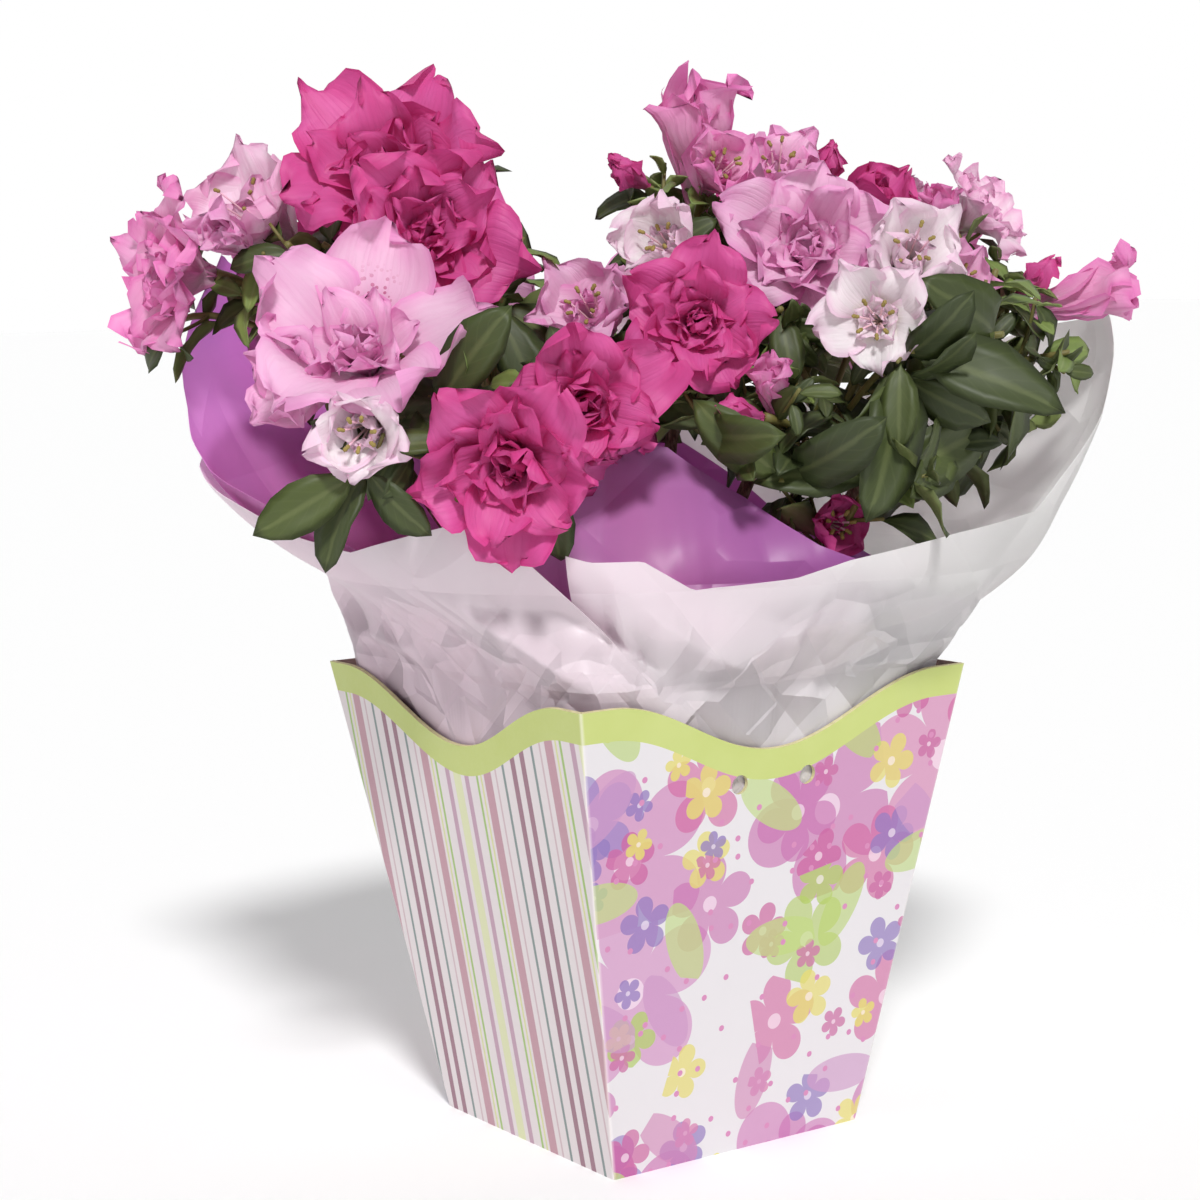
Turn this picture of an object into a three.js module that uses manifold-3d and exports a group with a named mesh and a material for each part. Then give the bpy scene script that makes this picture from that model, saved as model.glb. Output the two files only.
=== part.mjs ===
// A florist's azalea in a square card planter, lined with two sheets of wrapping film.
// Millimetres, +Z up. The origin is the centre of the planter's flat underside.
// The printed walls face -Y and +Y, the striped walls face -X and +X.

import * as THREE from 'three';
import { ParametricGeometry } from 'three/addons/geometries/ParametricGeometry.js';
import { mergeVertices } from 'three/addons/utils/BufferGeometryUtils.js';
import Module from 'manifold-3d';

const wasm = await Module();
wasm.setup();

// Clear space between neighbouring solids, and the edge below which a join is smoothed over
const CLEARANCE = 0.3;
const SHORTEST_EDGE = 0.02;

// Card planter: a square tapered box whose rim dips in a wave on each wall
const PLANTER_HEIGHT = 130;
const PLANTER_TOP = 127.8;
const PLANTER_BASE = 83.4;
const CARD = 1.2;
const RIM_DIP = 16.4;
const WAVE_WIDTH = 108;
const WAVE_STEPS = 16;
const CUT_MARGIN = 10;
const EYELET_RADIUS = 2.6;
const EYELET_SIDES = 12;
const EYELET_SPREAD = 11.3;
const EYELET_HEIGHT = 105;

// Round nursery pot and the peat in it
const POT_BASE_RADIUS = 35;
const POT_RIM_RADIUS = 48;
const POT_HEIGHT = 98;
const POT_WALL = 1.6;
const POT_LIP = 2.4;
const POT_LIP_DEPTH = 9;
const POT_SIDES = 20;
const PEAT_TOP = 93;
const PEAT_CROWN = 3;

// Film wrap
const FILM = 0.8;
const FILM_COLUMNS = 40;
const FILM_ROWS = 6;
const FILM_GAP = 2.1;
const FILM_GATHER_HEIGHT = PLANTER_HEIGHT + 1;
const FILM_CORNER_POWER = 30;
const BELLY_START = 0.43;

// The plant is laid out from its front, the side of the planter's near corner:
// `across` runs to the right of a viewer there, `toward` runs to the viewer.
const FRONT_BEARING = THREE.MathUtils.degToRad(235.45);
const FRONT = new THREE.Vector3(Math.cos(FRONT_BEARING), Math.sin(FRONT_BEARING), 0);
const RIGHT = new THREE.Vector3(-FRONT.y, FRONT.x, 0);
const UP = new THREE.Vector3(0, 0, 1);

const place = (across, toward, up) => new THREE.Vector3()
  .addScaledVector(RIGHT, across)
  .addScaledVector(FRONT, toward)
  .addScaledVector(UP, up);

// A direction given by its turn from the front, to the right, and its rise, in degrees
const heading = (turn, rise) => {
  const t = THREE.MathUtils.degToRad(turn);
  const r = THREE.MathUtils.degToRad(rise);
  return place(Math.sin(t) * Math.cos(r), Math.cos(t) * Math.cos(r), Math.sin(r));
};

// The same number between 0 and 1 for the same seed
const chance = (seed) => {
  const wave = Math.sin(seed * 12.9898 + 4.1) * 43758.5453;
  return wave - Math.floor(wave);
};

const finish = {
  card: new THREE.MeshStandardMaterial({ color: 0xefe9ea, roughness: 0.55, metalness: 0 }),
  pot: new THREE.MeshStandardMaterial({ color: 0x6b4034, roughness: 0.6, metalness: 0 }),
  peat: new THREE.MeshStandardMaterial({ color: 0x2b1d14, roughness: 1, metalness: 0 }),
  frosted: new THREE.MeshStandardMaterial({ color: 0xdcd2da, roughness: 0.4, metalness: 0 }),
  violet: new THREE.MeshStandardMaterial({ color: 0xb155bd, roughness: 0.4, metalness: 0 }),
  bark: new THREE.MeshStandardMaterial({ color: 0x6e4f3a, roughness: 0.9, metalness: 0 }),
  spray: new THREE.MeshStandardMaterial({ color: 0xc6508f, roughness: 0.7, metalness: 0 }),
};

// Solids from geometries, and back

function solidOf(geometry) {
  const shape = geometry.clone();
  shape.deleteAttribute('normal');
  shape.deleteAttribute('uv');
  const merged = mergeVertices(shape);
  const corners = merged.index.array;
  const kept = [];
  for (let i = 0; i < corners.length; i += 3) {
    const [a, b, c] = [corners[i], corners[i + 1], corners[i + 2]];
    if (a !== b && b !== c && c !== a) kept.push(a, b, c);
  }
  return new wasm.Manifold(new wasm.Mesh({
    numProp: 3,
    tolerance: SHORTEST_EDGE,
    vertProperties: new Float32Array(merged.attributes.position.array),
    triVerts: new Uint32Array(kept),
  }));
}

function named(name, solid, material) {
  const { vertProperties, triVerts } = solid.getMesh();
  const geometry = new THREE.BufferGeometry();
  geometry.setAttribute('position', new THREE.BufferAttribute(vertProperties, 3));
  geometry.setIndex(new THREE.BufferAttribute(triVerts, 1));
  geometry.computeVertexNormals();
  const mesh = new THREE.Mesh(geometry, material);
  mesh.name = name;
  return mesh;
}

const joined = (solids) => solids.reduce((whole, solid) => whole.add(solid));

// Card planter

const planterHalf = (height) => {
  const t = height / PLANTER_HEIGHT;
  return THREE.MathUtils.lerp(PLANTER_BASE, PLANTER_TOP, t) / 2;
};

function squareTaper(bottom, top, inset) {
  const toCorner = Math.SQRT2;
  const geometry = new THREE.CylinderGeometry(
    (planterHalf(top) - inset) * toCorner,
    (planterHalf(bottom) - inset) * toCorner,
    top - bottom, 4,
  );
  geometry.rotateY(Math.PI / 4);
  geometry.rotateX(Math.PI / 2);
  geometry.translate(0, 0, (bottom + top) / 2);
  return solidOf(geometry);
}

// What the wave leaves open above a wall, right across the planter
function rimCutter() {
  const outline = new THREE.Shape();
  const over = PLANTER_HEIGHT + CUT_MARGIN;
  outline.moveTo(-WAVE_WIDTH / 2, over);
  for (let i = 0; i <= WAVE_STEPS; i += 1) {
    const x = WAVE_WIDTH * (i / WAVE_STEPS - 0.5);
    const dip = RIM_DIP * (1 + Math.cos(2 * Math.PI * x / WAVE_WIDTH)) / 2;
    outline.lineTo(x, PLANTER_HEIGHT - dip);
  }
  outline.lineTo(WAVE_WIDTH / 2, over);
  const length = PLANTER_TOP + 2 * CUT_MARGIN;
  const geometry = new THREE.ExtrudeGeometry(outline, { depth: length, bevelEnabled: false });
  geometry.translate(0, 0, -length / 2);
  geometry.rotateX(Math.PI / 2);
  return geometry;
}

function planterBox() {
  const shell = squareTaper(0, PLANTER_HEIGHT, 0)
    .subtract(squareTaper(CARD, PLANTER_HEIGHT + CUT_MARGIN, CARD));
  const wave = rimCutter();
  let box = shell
    .subtract(solidOf(wave))
    .subtract(solidOf(wave.clone().rotateZ(Math.PI / 2)));
  for (const side of [-1, 1]) {
    const eyelet = new THREE.CylinderGeometry(
      EYELET_RADIUS, EYELET_RADIUS, PLANTER_TOP + 2 * CUT_MARGIN, EYELET_SIDES,
    );
    eyelet.translate(side * EYELET_SPREAD, 0, EYELET_HEIGHT);
    box = box.subtract(solidOf(eyelet));
  }
  return box;
}

// Nursery pot and peat, standing on the planter's floor

const potFloor = CARD + CLEARANCE;
const potRadius = (height) => THREE.MathUtils.lerp(POT_BASE_RADIUS, POT_RIM_RADIUS, height / POT_HEIGHT);

function turned(profile, sides) {
  const geometry = new THREE.LatheGeometry(profile.map(([r, z]) => new THREE.Vector2(r, z)), sides);
  geometry.rotateX(Math.PI / 2);
  return solidOf(geometry);
}

function nurseryPot() {
  const lipFoot = POT_HEIGHT - POT_LIP_DEPTH;
  return turned([
    [0, potFloor],
    [POT_BASE_RADIUS, potFloor],
    [potRadius(lipFoot), lipFoot],
    [potRadius(lipFoot) + POT_LIP, lipFoot],
    [POT_RIM_RADIUS + POT_LIP, POT_HEIGHT],
    [POT_RIM_RADIUS - POT_WALL, POT_HEIGHT],
    [POT_BASE_RADIUS - POT_WALL, potFloor + POT_WALL],
    [0, potFloor + POT_WALL],
  ], POT_SIDES);
}

function peat() {
  const floor = potFloor + POT_WALL + CLEARANCE;
  const inset = POT_WALL + 2 * CLEARANCE;
  return turned([
    [0, floor],
    [potRadius(floor) - inset, floor],
    [potRadius(PEAT_TOP - PEAT_CROWN) - inset, PEAT_TOP - PEAT_CROWN],
    [potRadius(PEAT_TOP) * 0.7, PEAT_TOP],
    [0, PEAT_TOP],
  ], POT_SIDES);
}

// Film wrap: both sheets follow one form, from between pot and card up to a flared edge.
// Rows: turn from the front in degrees, reach and height of the form's edge, how strongly the
// form is pinched low and bellied high, height of the frosted sheet's edge, height of the violet
// sheet's edge, and how far the violet sheet folds inward.
const FILM_EDGE = [
  [-180, 106, 226, 1, 186, 196, 0],
  [-153, 106, 250, 2, 190, 250, 0],
  [-126, 112, 240, 3, 195, 232, 0],
  [-99, 120, 248, 5, 198, 246, 0],
  [-90, 120, 228, 5, 192, 204, 0],
  [-81, 118, 206, 4, 185, 188, 0],
  [-63, 99, 186, 3, 171, 175, 0],
  [-54, 94, 180, 1, 168, 168, 0],
  [-27, 95, 180, 0, 178, 168, 0],
  [-18, 90, 180, 0, 161, 174, 14],
  [-9, 86, 178, 0, 146, 190, 26],
  [0, 84, 174, 0, 166, 194, 26],
  [9, 83, 172, 0, 159, 193, 26],
  [27, 88, 172, 0, 161, 180, 20],
  [36, 92, 172, 0, 165, 168, 8],
  [54, 102, 174, 0, 170, 156, 0],
  [72, 113, 180, 0, 173, 150, 0],
  [90, 131, 212, 0, 198, 150, 0],
  [99, 138, 226, 0, 224, 150, 0],
  [117, 135, 224, 1, 220, 150, 0],
  [153, 116, 214, 1, 196, 165, 0],
  [180, 106, 226, 1, 186, 196, 0],
];

function filmEdge(turn) {
  const next = FILM_EDGE.findIndex((row) => row[0] > turn);
  if (next < 0) return FILM_EDGE.at(-1);
  const [before, after] = [FILM_EDGE[next - 1], FILM_EDGE[next]];
  const t = (turn - before[0]) / (after[0] - before[0]);
  return before.map((value, i) => THREE.MathUtils.lerp(value, after[i], t));
}

function filmReach(turn, height) {
  const [, edgeReach, edgeHeight, belly] = filmEdge(turn);
  const bearing = FRONT_BEARING + THREE.MathUtils.degToRad(turn);
  const cornered = (Math.abs(Math.cos(bearing)) ** FILM_CORNER_POWER
    + Math.abs(Math.sin(bearing)) ** FILM_CORNER_POWER) ** (-1 / FILM_CORNER_POWER);
  const inside = planterHalf(Math.min(height, FILM_GATHER_HEIGHT)) - CARD - 2 * CLEARANCE;
  const flared = (height - FILM_GATHER_HEIGHT) / (edgeHeight - FILM_GATHER_HEIGHT);
  const rise = THREE.MathUtils.clamp(flared, 0, 1);
  const flare = 1 - (1 - rise) ** 2 + belly * rise * (1 - rise) * (rise - BELLY_START);
  return THREE.MathUtils.lerp(inside * cornered, edgeReach, flare);
}

// A closed skin: up the outer face of the sheet, over its edge and down the inner face
function filmSheet(inset, edgeColumn, foldShare) {
  const turns = 2 * (FILM_ROWS + 1);
  const foot = CARD + CLEARANCE;
  const geometry = new ParametricGeometry((u, v, target) => {
    const turn = 360 * (Math.round(u * FILM_COLUMNS) % FILM_COLUMNS) / FILM_COLUMNS - 180;
    const step = Math.round(v * turns) % turns;
    const inner = step > FILM_ROWS;
    const row = inner ? turns - 1 - step : step;
    const edge = filmEdge(turn);
    const top = edge[edgeColumn];
    const low = FILM_GATHER_HEIGHT;
    const height = row === 0
      ? foot
      : THREE.MathUtils.lerp(low, top, (row - 1) / (FILM_ROWS - 1));
    const fold = foldShare * edge[6] * Math.max(0, (height - low) / (top - low)) ** 1.5;
    const reach = filmReach(turn, height) - inset - fold - (inner ? FILM : 0);
    target.copy(heading(turn, 0)).multiplyScalar(reach).setZ(height);
  }, FILM_COLUMNS, turns);
  return solidOf(geometry);
}

// Limbs, leaves and blooms

// A tapered round limb along a curve, with flat ends
function limb(curve, radiusAt, sides, steps, grown = 0) {
  const geometry = new THREE.CylinderGeometry(1, 1, 1, sides, steps);
  const frames = curve.computeFrenetFrames(steps);
  const position = geometry.attributes.position;
  const point = new THREE.Vector3();
  for (let i = 0; i < position.count; i += 1) {
    const along = position.getY(i) + 0.5;
    const ring = Math.round(along * steps);
    const radius = radiusAt(along) + grown;
    point.copy(curve.getPointAt(along))
      .addScaledVector(frames.binormals[ring], position.getX(i) * radius)
      .addScaledVector(frames.normals[ring], position.getZ(i) * radius);
    position.setXYZ(i, point.x, point.y, point.z);
  }
  return solidOf(geometry);
}

// A leaf or petal of 8 faces: pointed at its root and tip, widest between them
function blade({ root, tip, face, width, thickness, widest, arch, grown = 0 }) {
  const along = tip.clone().sub(root);
  const length = along.length();
  along.normalize();
  const side = new THREE.Vector3().crossVectors(along, face).normalize();
  const over = new THREE.Vector3().crossVectors(side, along);
  const geometry = new THREE.OctahedronGeometry(1);
  const position = geometry.attributes.position;
  const point = new THREE.Vector3();
  for (let i = 0; i < position.count; i += 1) {
    const [x, y, z] = [position.getX(i), position.getY(i), position.getZ(i)];
    const end = Math.sign(Math.round(y));
    const share = end === 0 ? widest : (end + 1) / 2;
    point.copy(root)
      .addScaledVector(along, length * share + end * grown)
      .addScaledVector(side, x * (width / 2 + grown))
      .addScaledVector(over, z * (thickness / 2 + grown) + (end === 0 ? arch : 0));
    position.setXYZ(i, point.x, point.y, point.z);
  }
  return solidOf(geometry);
}

// Kinds of bloom. Depth runs from the petals' root to the bloom's mouth, in widths.
// Each ring of petals: how many, how far its tips spread and rise, in widths, and petal width.
const BLOOM_KINDS = {
  double: { depth: 0.42, rings: [[5, 0.5, 0.42, 0.32], [1, 0, 0.5, 0.36]] },
  open: { depth: 0.36, rings: [[5, 0.5, 0.36, 0.34]] },
  cup: { depth: 0.6, rings: [[5, 0.42, 0.72, 0.3]] },
  half: { depth: 0.8, rings: [[4, 0.34, 1.15, 0.32]] },
  bud: { depth: 0.6, rings: [[1, 0, 1.25, 0.9]] },
};

const PETAL_THICKNESS = 1.4;
const LEAF_THICKNESS = 1.2;
const LEAF_WIDTH_SHARE = 0.42;
const LEAF_SINK = 0.8;
const PETAL_SINK = 0.9;
const LEAF_FOOT_SHARE = 0.35;

function bloomBase([kind, across, toward, up, width, turn, rise]) {
  return place(across, toward, up).addScaledVector(heading(turn, rise), -BLOOM_KINDS[kind].depth * width);
}

// Sideways and upright directions square to an axis
function squareTo(axis) {
  const side = new THREE.Vector3().crossVectors(Math.abs(axis.z) > 0.95 ? RIGHT : UP, axis).normalize();
  return [side, new THREE.Vector3().crossVectors(axis, side)];
}

function petals(bloom, seed) {
  const [kind, , , , width, turn, rise] = bloom;
  const axis = heading(turn, rise);
  const base = bloomBase(bloom);
  const [side, lift] = squareTo(axis);
  const parts = [];
  BLOOM_KINDS[kind].rings.forEach(([count, spread, height, petalWidth], ring) => {
    for (let i = 0; i < count; i += 1) {
      const angle = 2 * Math.PI * ((i + 0.5 * ring) / count + chance(seed));
      const out = side.clone().multiplyScalar(Math.cos(angle)).addScaledVector(lift, Math.sin(angle));
      parts.push({
        root: base.clone().addScaledVector(axis, -PETAL_SINK).addScaledVector(out, count > 1 ? 0.5 : 0),
        tip: base.clone().addScaledVector(axis, height * width).addScaledVector(out, spread * width),
        face: count > 1 ? axis : side,
        width: petalWidth * width,
        thickness: count === 1 ? petalWidth * width : PETAL_THICKNESS,
        widest: 0.64,
        arch: 0.07 * width,
      });
    }
  });
  return parts;
}

// The point of a stepped limb's axis at a share of its length
function alongLimb(curve, steps, share) {
  const ring = Math.min(steps - 1, Math.floor(share * steps));
  return curve.getPointAt(ring / steps).lerp(curve.getPointAt((ring + 1) / steps), share * steps - ring);
}

// Leaves down a twig from its tip, each turned on from the last by the golden angle
const GOLDEN_ANGLE = Math.PI * (3 - Math.sqrt(5));
const FIRST_LEAF = 2.5;
const LEAF_PITCH = 1.9;
const LEAF_DROOP = 0.18;
const LEAST_LEAN = 8;
const LEAN_RANGE = 34;
const LEAST_REACH = 0.8;
const REACH_RANGE = 0.35;

function leavesOn({ curve, steps, leaves, leafLength, leafSeed }) {
  const blades = [];
  for (let i = 0; i < leaves; i += 1) {
    const share = Math.max(0.3, 1 - (FIRST_LEAF + LEAF_PITCH * i) / curve.getLength());
    const node = alongLimb(curve, steps, share);
    const axis = curve.getTangentAt(share);
    const [side, lift] = squareTo(axis);
    const angle = GOLDEN_ANGLE * i + 2 * Math.PI * chance(leafSeed);
    const lean = THREE.MathUtils.degToRad(LEAST_LEAN + LEAN_RANGE * chance(leafSeed + i + 0.3));
    const direction = side.multiplyScalar(Math.cos(angle))
      .addScaledVector(lift, Math.sin(angle))
      .multiplyScalar(Math.cos(lean))
      .addScaledVector(axis, Math.sin(lean));
    direction.z -= LEAF_DROOP;
    direction.normalize();
    const reach = leafLength * (LEAST_REACH + REACH_RANGE * chance(leafSeed + i + 0.7));
    blades.push({
      root: node.clone().addScaledVector(direction, -LEAF_SINK),
      tip: node.clone().addScaledVector(direction, reach),
      face: axis,
      width: reach * LEAF_WIDTH_SHARE,
      thickness: LEAF_THICKNESS,
      widest: 0.58,
      arch: 0.05 * reach,
    });
  }
  return blades;
}

// Sprays. Each has its foot, the height where its bough leaves the trunk, its blooms and its shoots.
// A bloom: kind, across, toward, up, width, turn, rise, and how many leaves stand under it.
// A leafy shoot: across, toward, up, turn, rise, leaves, leaf length.
const SPRAYS = [
  {
    name: 'left_top', fork: 122, foot: [-36, 10, 196],
    blooms: [
      ['double', -63, 28, 273, 64, -12, 36, 5],
      ['double', -50, 46, 252, 50, 22, 6, 5],
    ],
    shoots: [[-35, 40, 232, 30, 0, 5, 30], [-84, 10, 248, -60, 30, 4, 26]],
  },
  {
    name: 'left_front', fork: 106, foot: [-40, 38, 172],
    blooms: [
      ['open', -66, 76, 230, 62, -5, 6, 5],
      ['cup', -86, 70, 214, 34, -45, -5, 5],
      ['cup', -68, 96, 201, 28, -8, -8, 4],
    ],
    shoots: [[-69, 92, 190, -20, -40, 6, 25], [-50, 80, 205, 20, -10, 5, 32]],
  },
  {
    name: 'left_side', fork: 114, foot: [-66, 2, 190],
    blooms: [
      ['cup', -106, 4, 264, 42, -40, 38, 4],
      ['half', -109, 22, 251, 18, -30, 20, 3],
      ['double', -133, 8, 245, 48, -62, 4, 4],
    ],
    shoots: [[-135, 6, 230, -75, -60, 6, 28], [-92, 24, 248, -10, 10, 4, 24]],
  },
  {
    name: 'front_low', fork: 114, foot: [-16, 44, 172],
    blooms: [
      ['double', -34, 92, 192, 42, -8, -22, 5],
      ['double', -10, 80, 206, 40, 15, 0, 5],
    ],
    shoots: [[-45, 92, 184, -12, -50, 5, 26], [-22, 90, 190, 15, -50, 5, 26]],
  },
  {
    name: 'centre', fork: 136, foot: [2, 24, 182],
    blooms: [
      ['cup', -13, 40, 230, 30, -20, 30, 4],
      ['double', 16, 60, 226, 36, 0, 5, 4],
      ['cup', 4, 34, 250, 28, -25, 20, 4],
    ],
    shoots: [[-26, 40, 212, -30, 10, 5, 28], [28, 34, 208, 10, -10, 7, 30]],
  },
  {
    name: 'right_peak', fork: 146, foot: [12, -4, 205],
    blooms: [
      ['half', 19, -8, 279, 32, 0, 76, 5],
      ['bud', 0, 0, 265, 13, -50, 30, 3],
      ['cup', 25, 8, 267, 24, 20, 30, 4],
    ],
    shoots: [[6, 14, 243, -40, 10, 5, 20]],
  },
  {
    name: 'right_top', fork: 130, foot: [38, -4, 196],
    blooms: [
      ['cup', 44, -18, 272, 22, 0, 55, 3],
      ['half', 66, -4, 258, 20, 40, 50, 4],
      ['bud', 56, -22, 266, 12, 20, 60, 3],
      ['double', 46, 22, 247, 36, -5, 22, 5],
    ],
    shoots: [[38, 40, 228, 10, 10, 3, 24]],
  },
  {
    name: 'right_front', fork: 124, foot: [42, 28, 178],
    blooms: [
      ['open', 66, 50, 238, 38, 5, 18, 4],
      ['half', 34, 60, 210, 15, -10, 55, 3],
      ['bud', 26, 62, 202, 12, -60, 10, 3],
      ['cup', 90, 13, 235, 22, 34, 18, 3],
    ],
    shoots: [
      [68, 62, 221, 5, -14, 8, 36], [97, 34, 220, 42, 0, 7, 31],
      [16, 58, 198, -30, 10, 5, 32], [36, 62, 184, -10, -20, 6, 29],
    ],
  },
  {
    name: 'right_side', fork: 114, foot: [70, -10, 190],
    blooms: [
      ['bud', 84, -8, 256, 13, 10, 62, 3],
      ['double', 103, -30, 256, 30, 60, 40, 4],
      ['half', 132, -12, 230, 27, 82, 14, 3],
      ['bud', 113, -12, 234, 12, 70, 40, 3],
    ],
    shoots: [[101, -5, 237, 20, 68, 5, 24], [119, 8, 214, 60, 10, 7, 18], [104, 10, 200, 75, -10, 6, 26]],
  },
  {
    name: 'right_low', fork: 106, foot: [44, 36, 152],
    blooms: [['cup', 52, 48, 172, 20, 20, 0, 3]],
    shoots: [[88, 42, 186, 25, -6, 7, 31], [64, 58, 180, 10, -18, 6, 30]],
  },
  {
    name: 'back_left', fork: 106, foot: [-50, -38, 186],
    blooms: [
      ['double', -78, -32, 258, 48, -140, 35, 5],
      ['open', -56, -62, 238, 50, 178, 12, 5],
      ['double', -102, -42, 234, 42, -120, 8, 5],
      ['cup', -72, -72, 218, 32, -150, 10, 4],
    ],
    shoots: [[-84, -50, 212, -135, 0, 6, 30]],
  },
  {
    name: 'back_mid', fork: 114, foot: [-4, -48, 178],
    blooms: [
      ['double', -28, -88, 212, 44, 178, 0, 5],
      ['open', 12, -82, 224, 46, 172, 22, 5],
    ],
    shoots: [[-6, -82, 198, 180, -5, 6, 30], [-30, -56, 226, -160, 50, 5, 26]],
  },
  {
    name: 'back_right', fork: 106, foot: [52, -44, 184],
    blooms: [
      ['double', 44, -64, 248, 44, 160, 42, 5],
      ['cup', 64, -94, 222, 40, 150, 4, 5],
      ['double', 94, -66, 238, 42, 125, 18, 5],
      ['cup', 76, -44, 256, 28, 150, 60, 4],
    ],
    shoots: [[110, -56, 214, 110, -8, 7, 28], [40, -98, 200, 165, -25, 6, 28]],
  },
];

// Trunk and boughs

const TRUNK_TOP = 150;
const TRUNK_RADIUS = 5.6;
const TRUNK_SIDES = 8;
const TRUNK_STEPS = 6;
const trunkCurve = new THREE.CatmullRomCurve3([
  place(0, 0, PEAT_TOP),
  place(1.5, 1, PEAT_TOP + 18),
  place(-1.5, 0.5, PEAT_TOP + 38),
  place(1, -1, TRUNK_TOP),
]);
const trunkRadius = (along) => TRUNK_RADIUS * (1 - 0.5 * along + 0.75 * Math.exp(-along * 14));

const BOUGH_ROOT = 2.3;
const BOUGH_TIP = 1.5;
const BOUGH_SIDES = 5;
const BOUGH_STEPS = 5;
const STEM_LENGTH = 9;
const STEM_TIP = 1.3;
const STEM_SIDES = 6;
const TWIG_RADIUS = 1.2;
const TWIG_SIDES = 3;
const TWIG_HANDLE = 0.3;
const SHORT_TWIG = 30;

function boughCurve({ fork, foot }) {
  const along = (fork - PEAT_TOP) / (TRUNK_TOP - PEAT_TOP);
  const start = trunkCurve.getPointAt(THREE.MathUtils.clamp(along, 0, 1));
  const end = place(...foot);
  const bend = start.clone().lerp(end, 0.55);
  bend.z = THREE.MathUtils.lerp(start.z, end.z, 0.3);
  return new THREE.QuadraticBezierCurve3(start, bend, end);
}

// The part of a spray that carries: its stem, on from the bough, and a twig to each bloom and shoot
function branching(spray, index) {
  const bough = boughCurve(spray);
  const onward = bough.getTangentAt(1);
  const foot = bough.getPointAt(1).addScaledVector(onward, CLEARANCE);
  const crotch = foot.clone().addScaledVector(onward, STEM_LENGTH);
  const stem = {
    curve: new THREE.LineCurve3(foot, crotch),
    radii: [BOUGH_TIP, STEM_TIP],
    sides: STEM_SIDES,
    steps: 1,
  };
  const ends = [
    ...spray.blooms.map((bloom, i) => ({
      bloom,
      petalSeed: index * 31 + i,
      tip: bloomBase(bloom),
      axis: heading(bloom[5], bloom[6]),
      tipRadius: 1.7 + 0.028 * bloom[4],
      leaves: bloom[7],
      leafLength: 15 + 0.26 * bloom[4],
    })),
    ...spray.shoots.map(([across, toward, up, turn, rise, leaves, leafLength]) => ({
      tip: place(across, toward, up),
      axis: heading(turn, rise),
      tipRadius: TWIG_RADIUS,
      leaves,
      leafLength,
    })),
  ];
  const twigs = ends.map((end, i) => {
    const start = foot.clone().lerp(crotch, 0.45 + 0.5 * chance(index * 17 + i));
    const span = start.distanceTo(end.tip);
    const first = start.clone().addScaledVector(onward, span * TWIG_HANDLE);
    const last = end.tip.clone().addScaledVector(end.axis, -span * TWIG_HANDLE);
    return {
      ...end,
      leafSeed: index * 41 + i * 7,
      curve: new THREE.CubicBezierCurve3(start, first, last, end.tip),
      radii: [TWIG_RADIUS, end.tipRadius],
      sides: TWIG_SIDES,
      steps: span < SHORT_TWIG ? 2 : 3,
    };
  });
  return { stem, twigs };
}

const limbOf = ({ curve, radii, sides, steps }, grown) => limb(
  curve, (along) => THREE.MathUtils.lerp(radii[0], radii[1], along), sides, steps, grown,
);

// The parts, in place

const azalea = new THREE.Group();
azalea.name = 'potted_azalea';
azalea.add(named('planter_box', planterBox(), finish.card));
azalea.add(named('nursery_pot', nurseryPot(), finish.pot));
azalea.add(named('peat', peat(), finish.peat));

const frosted = filmSheet(0, 4, 0);
const violet = filmSheet(FILM + FILM_GAP, 5, 1);
azalea.add(named('frosted_film', frosted, finish.frosted));
azalea.add(named('violet_film', violet, finish.violet));

const GROUND_CUT = 10;
const groundCut = new THREE.BoxGeometry(4 * GROUND_CUT, 4 * GROUND_CUT, GROUND_CUT);
groundCut.translate(0, 0, PEAT_TOP + CLEARANCE - GROUND_CUT / 2);
const trunk = limb(trunkCurve, trunkRadius, TRUNK_SIDES, TRUNK_STEPS).subtract(solidOf(groundCut));
azalea.add(named('trunk', trunk, finish.bark));
const trunkSpace = limb(trunkCurve, trunkRadius, TRUNK_SIDES, TRUNK_STEPS, CLEARANCE);

const boughs = SPRAYS.map((spray) => {
  const radiusAt = (along) => THREE.MathUtils.lerp(BOUGH_ROOT, BOUGH_TIP, along);
  return limb(boughCurve(spray), radiusAt, BOUGH_SIDES, BOUGH_STEPS).subtract(trunkSpace);
});
boughs.forEach((bough, i) => azalea.add(named(`bough_${SPRAYS[i].name}`, bough, finish.bark)));

// What already stands, with its box, so that a new piece can be tried against it
const standing = [];

function stand(solid, owner) {
  const { min, max } = solid.boundingBox();
  standing.push({ solid, owner, min, max });
}

function touches(solid, owner) {
  const { min, max } = solid.boundingBox();
  return standing.some((other) => other.owner !== owner
    && [0, 1, 2].every((k) => min[k] <= other.max[k] && max[k] >= other.min[k])
    && !solid.intersect(other.solid).isEmpty());
}

stand(frosted, 'film');
stand(violet, 'film');
stand(trunk, 'trunk');
boughs.forEach((bough, i) => stand(bough, `bough_${i}`));

const masses = SPRAYS.map(() => []);

function fuse(solid, index) {
  masses[index].push(solid);
  stand(solid, index);
}

// Fuses on each blade that stands clear of the other masses and limbs. A leaf's outer part,
// beyond the share `outer` of its length, stands clear of its own spray too.
function fuseWhereClear(blades, index, outer = 1) {
  blades.forEach((part) => {
    const beyond = { ...part, root: part.root.clone().lerp(part.tip, outer), grown: CLEARANCE };
    const crowded = touches(blade({ ...part, grown: CLEARANCE }), index)
      || (outer < 1 && touches(blade(beyond), 'itself'));
    if (!crowded) fuse(blade(part), index);
  });
}

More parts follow.
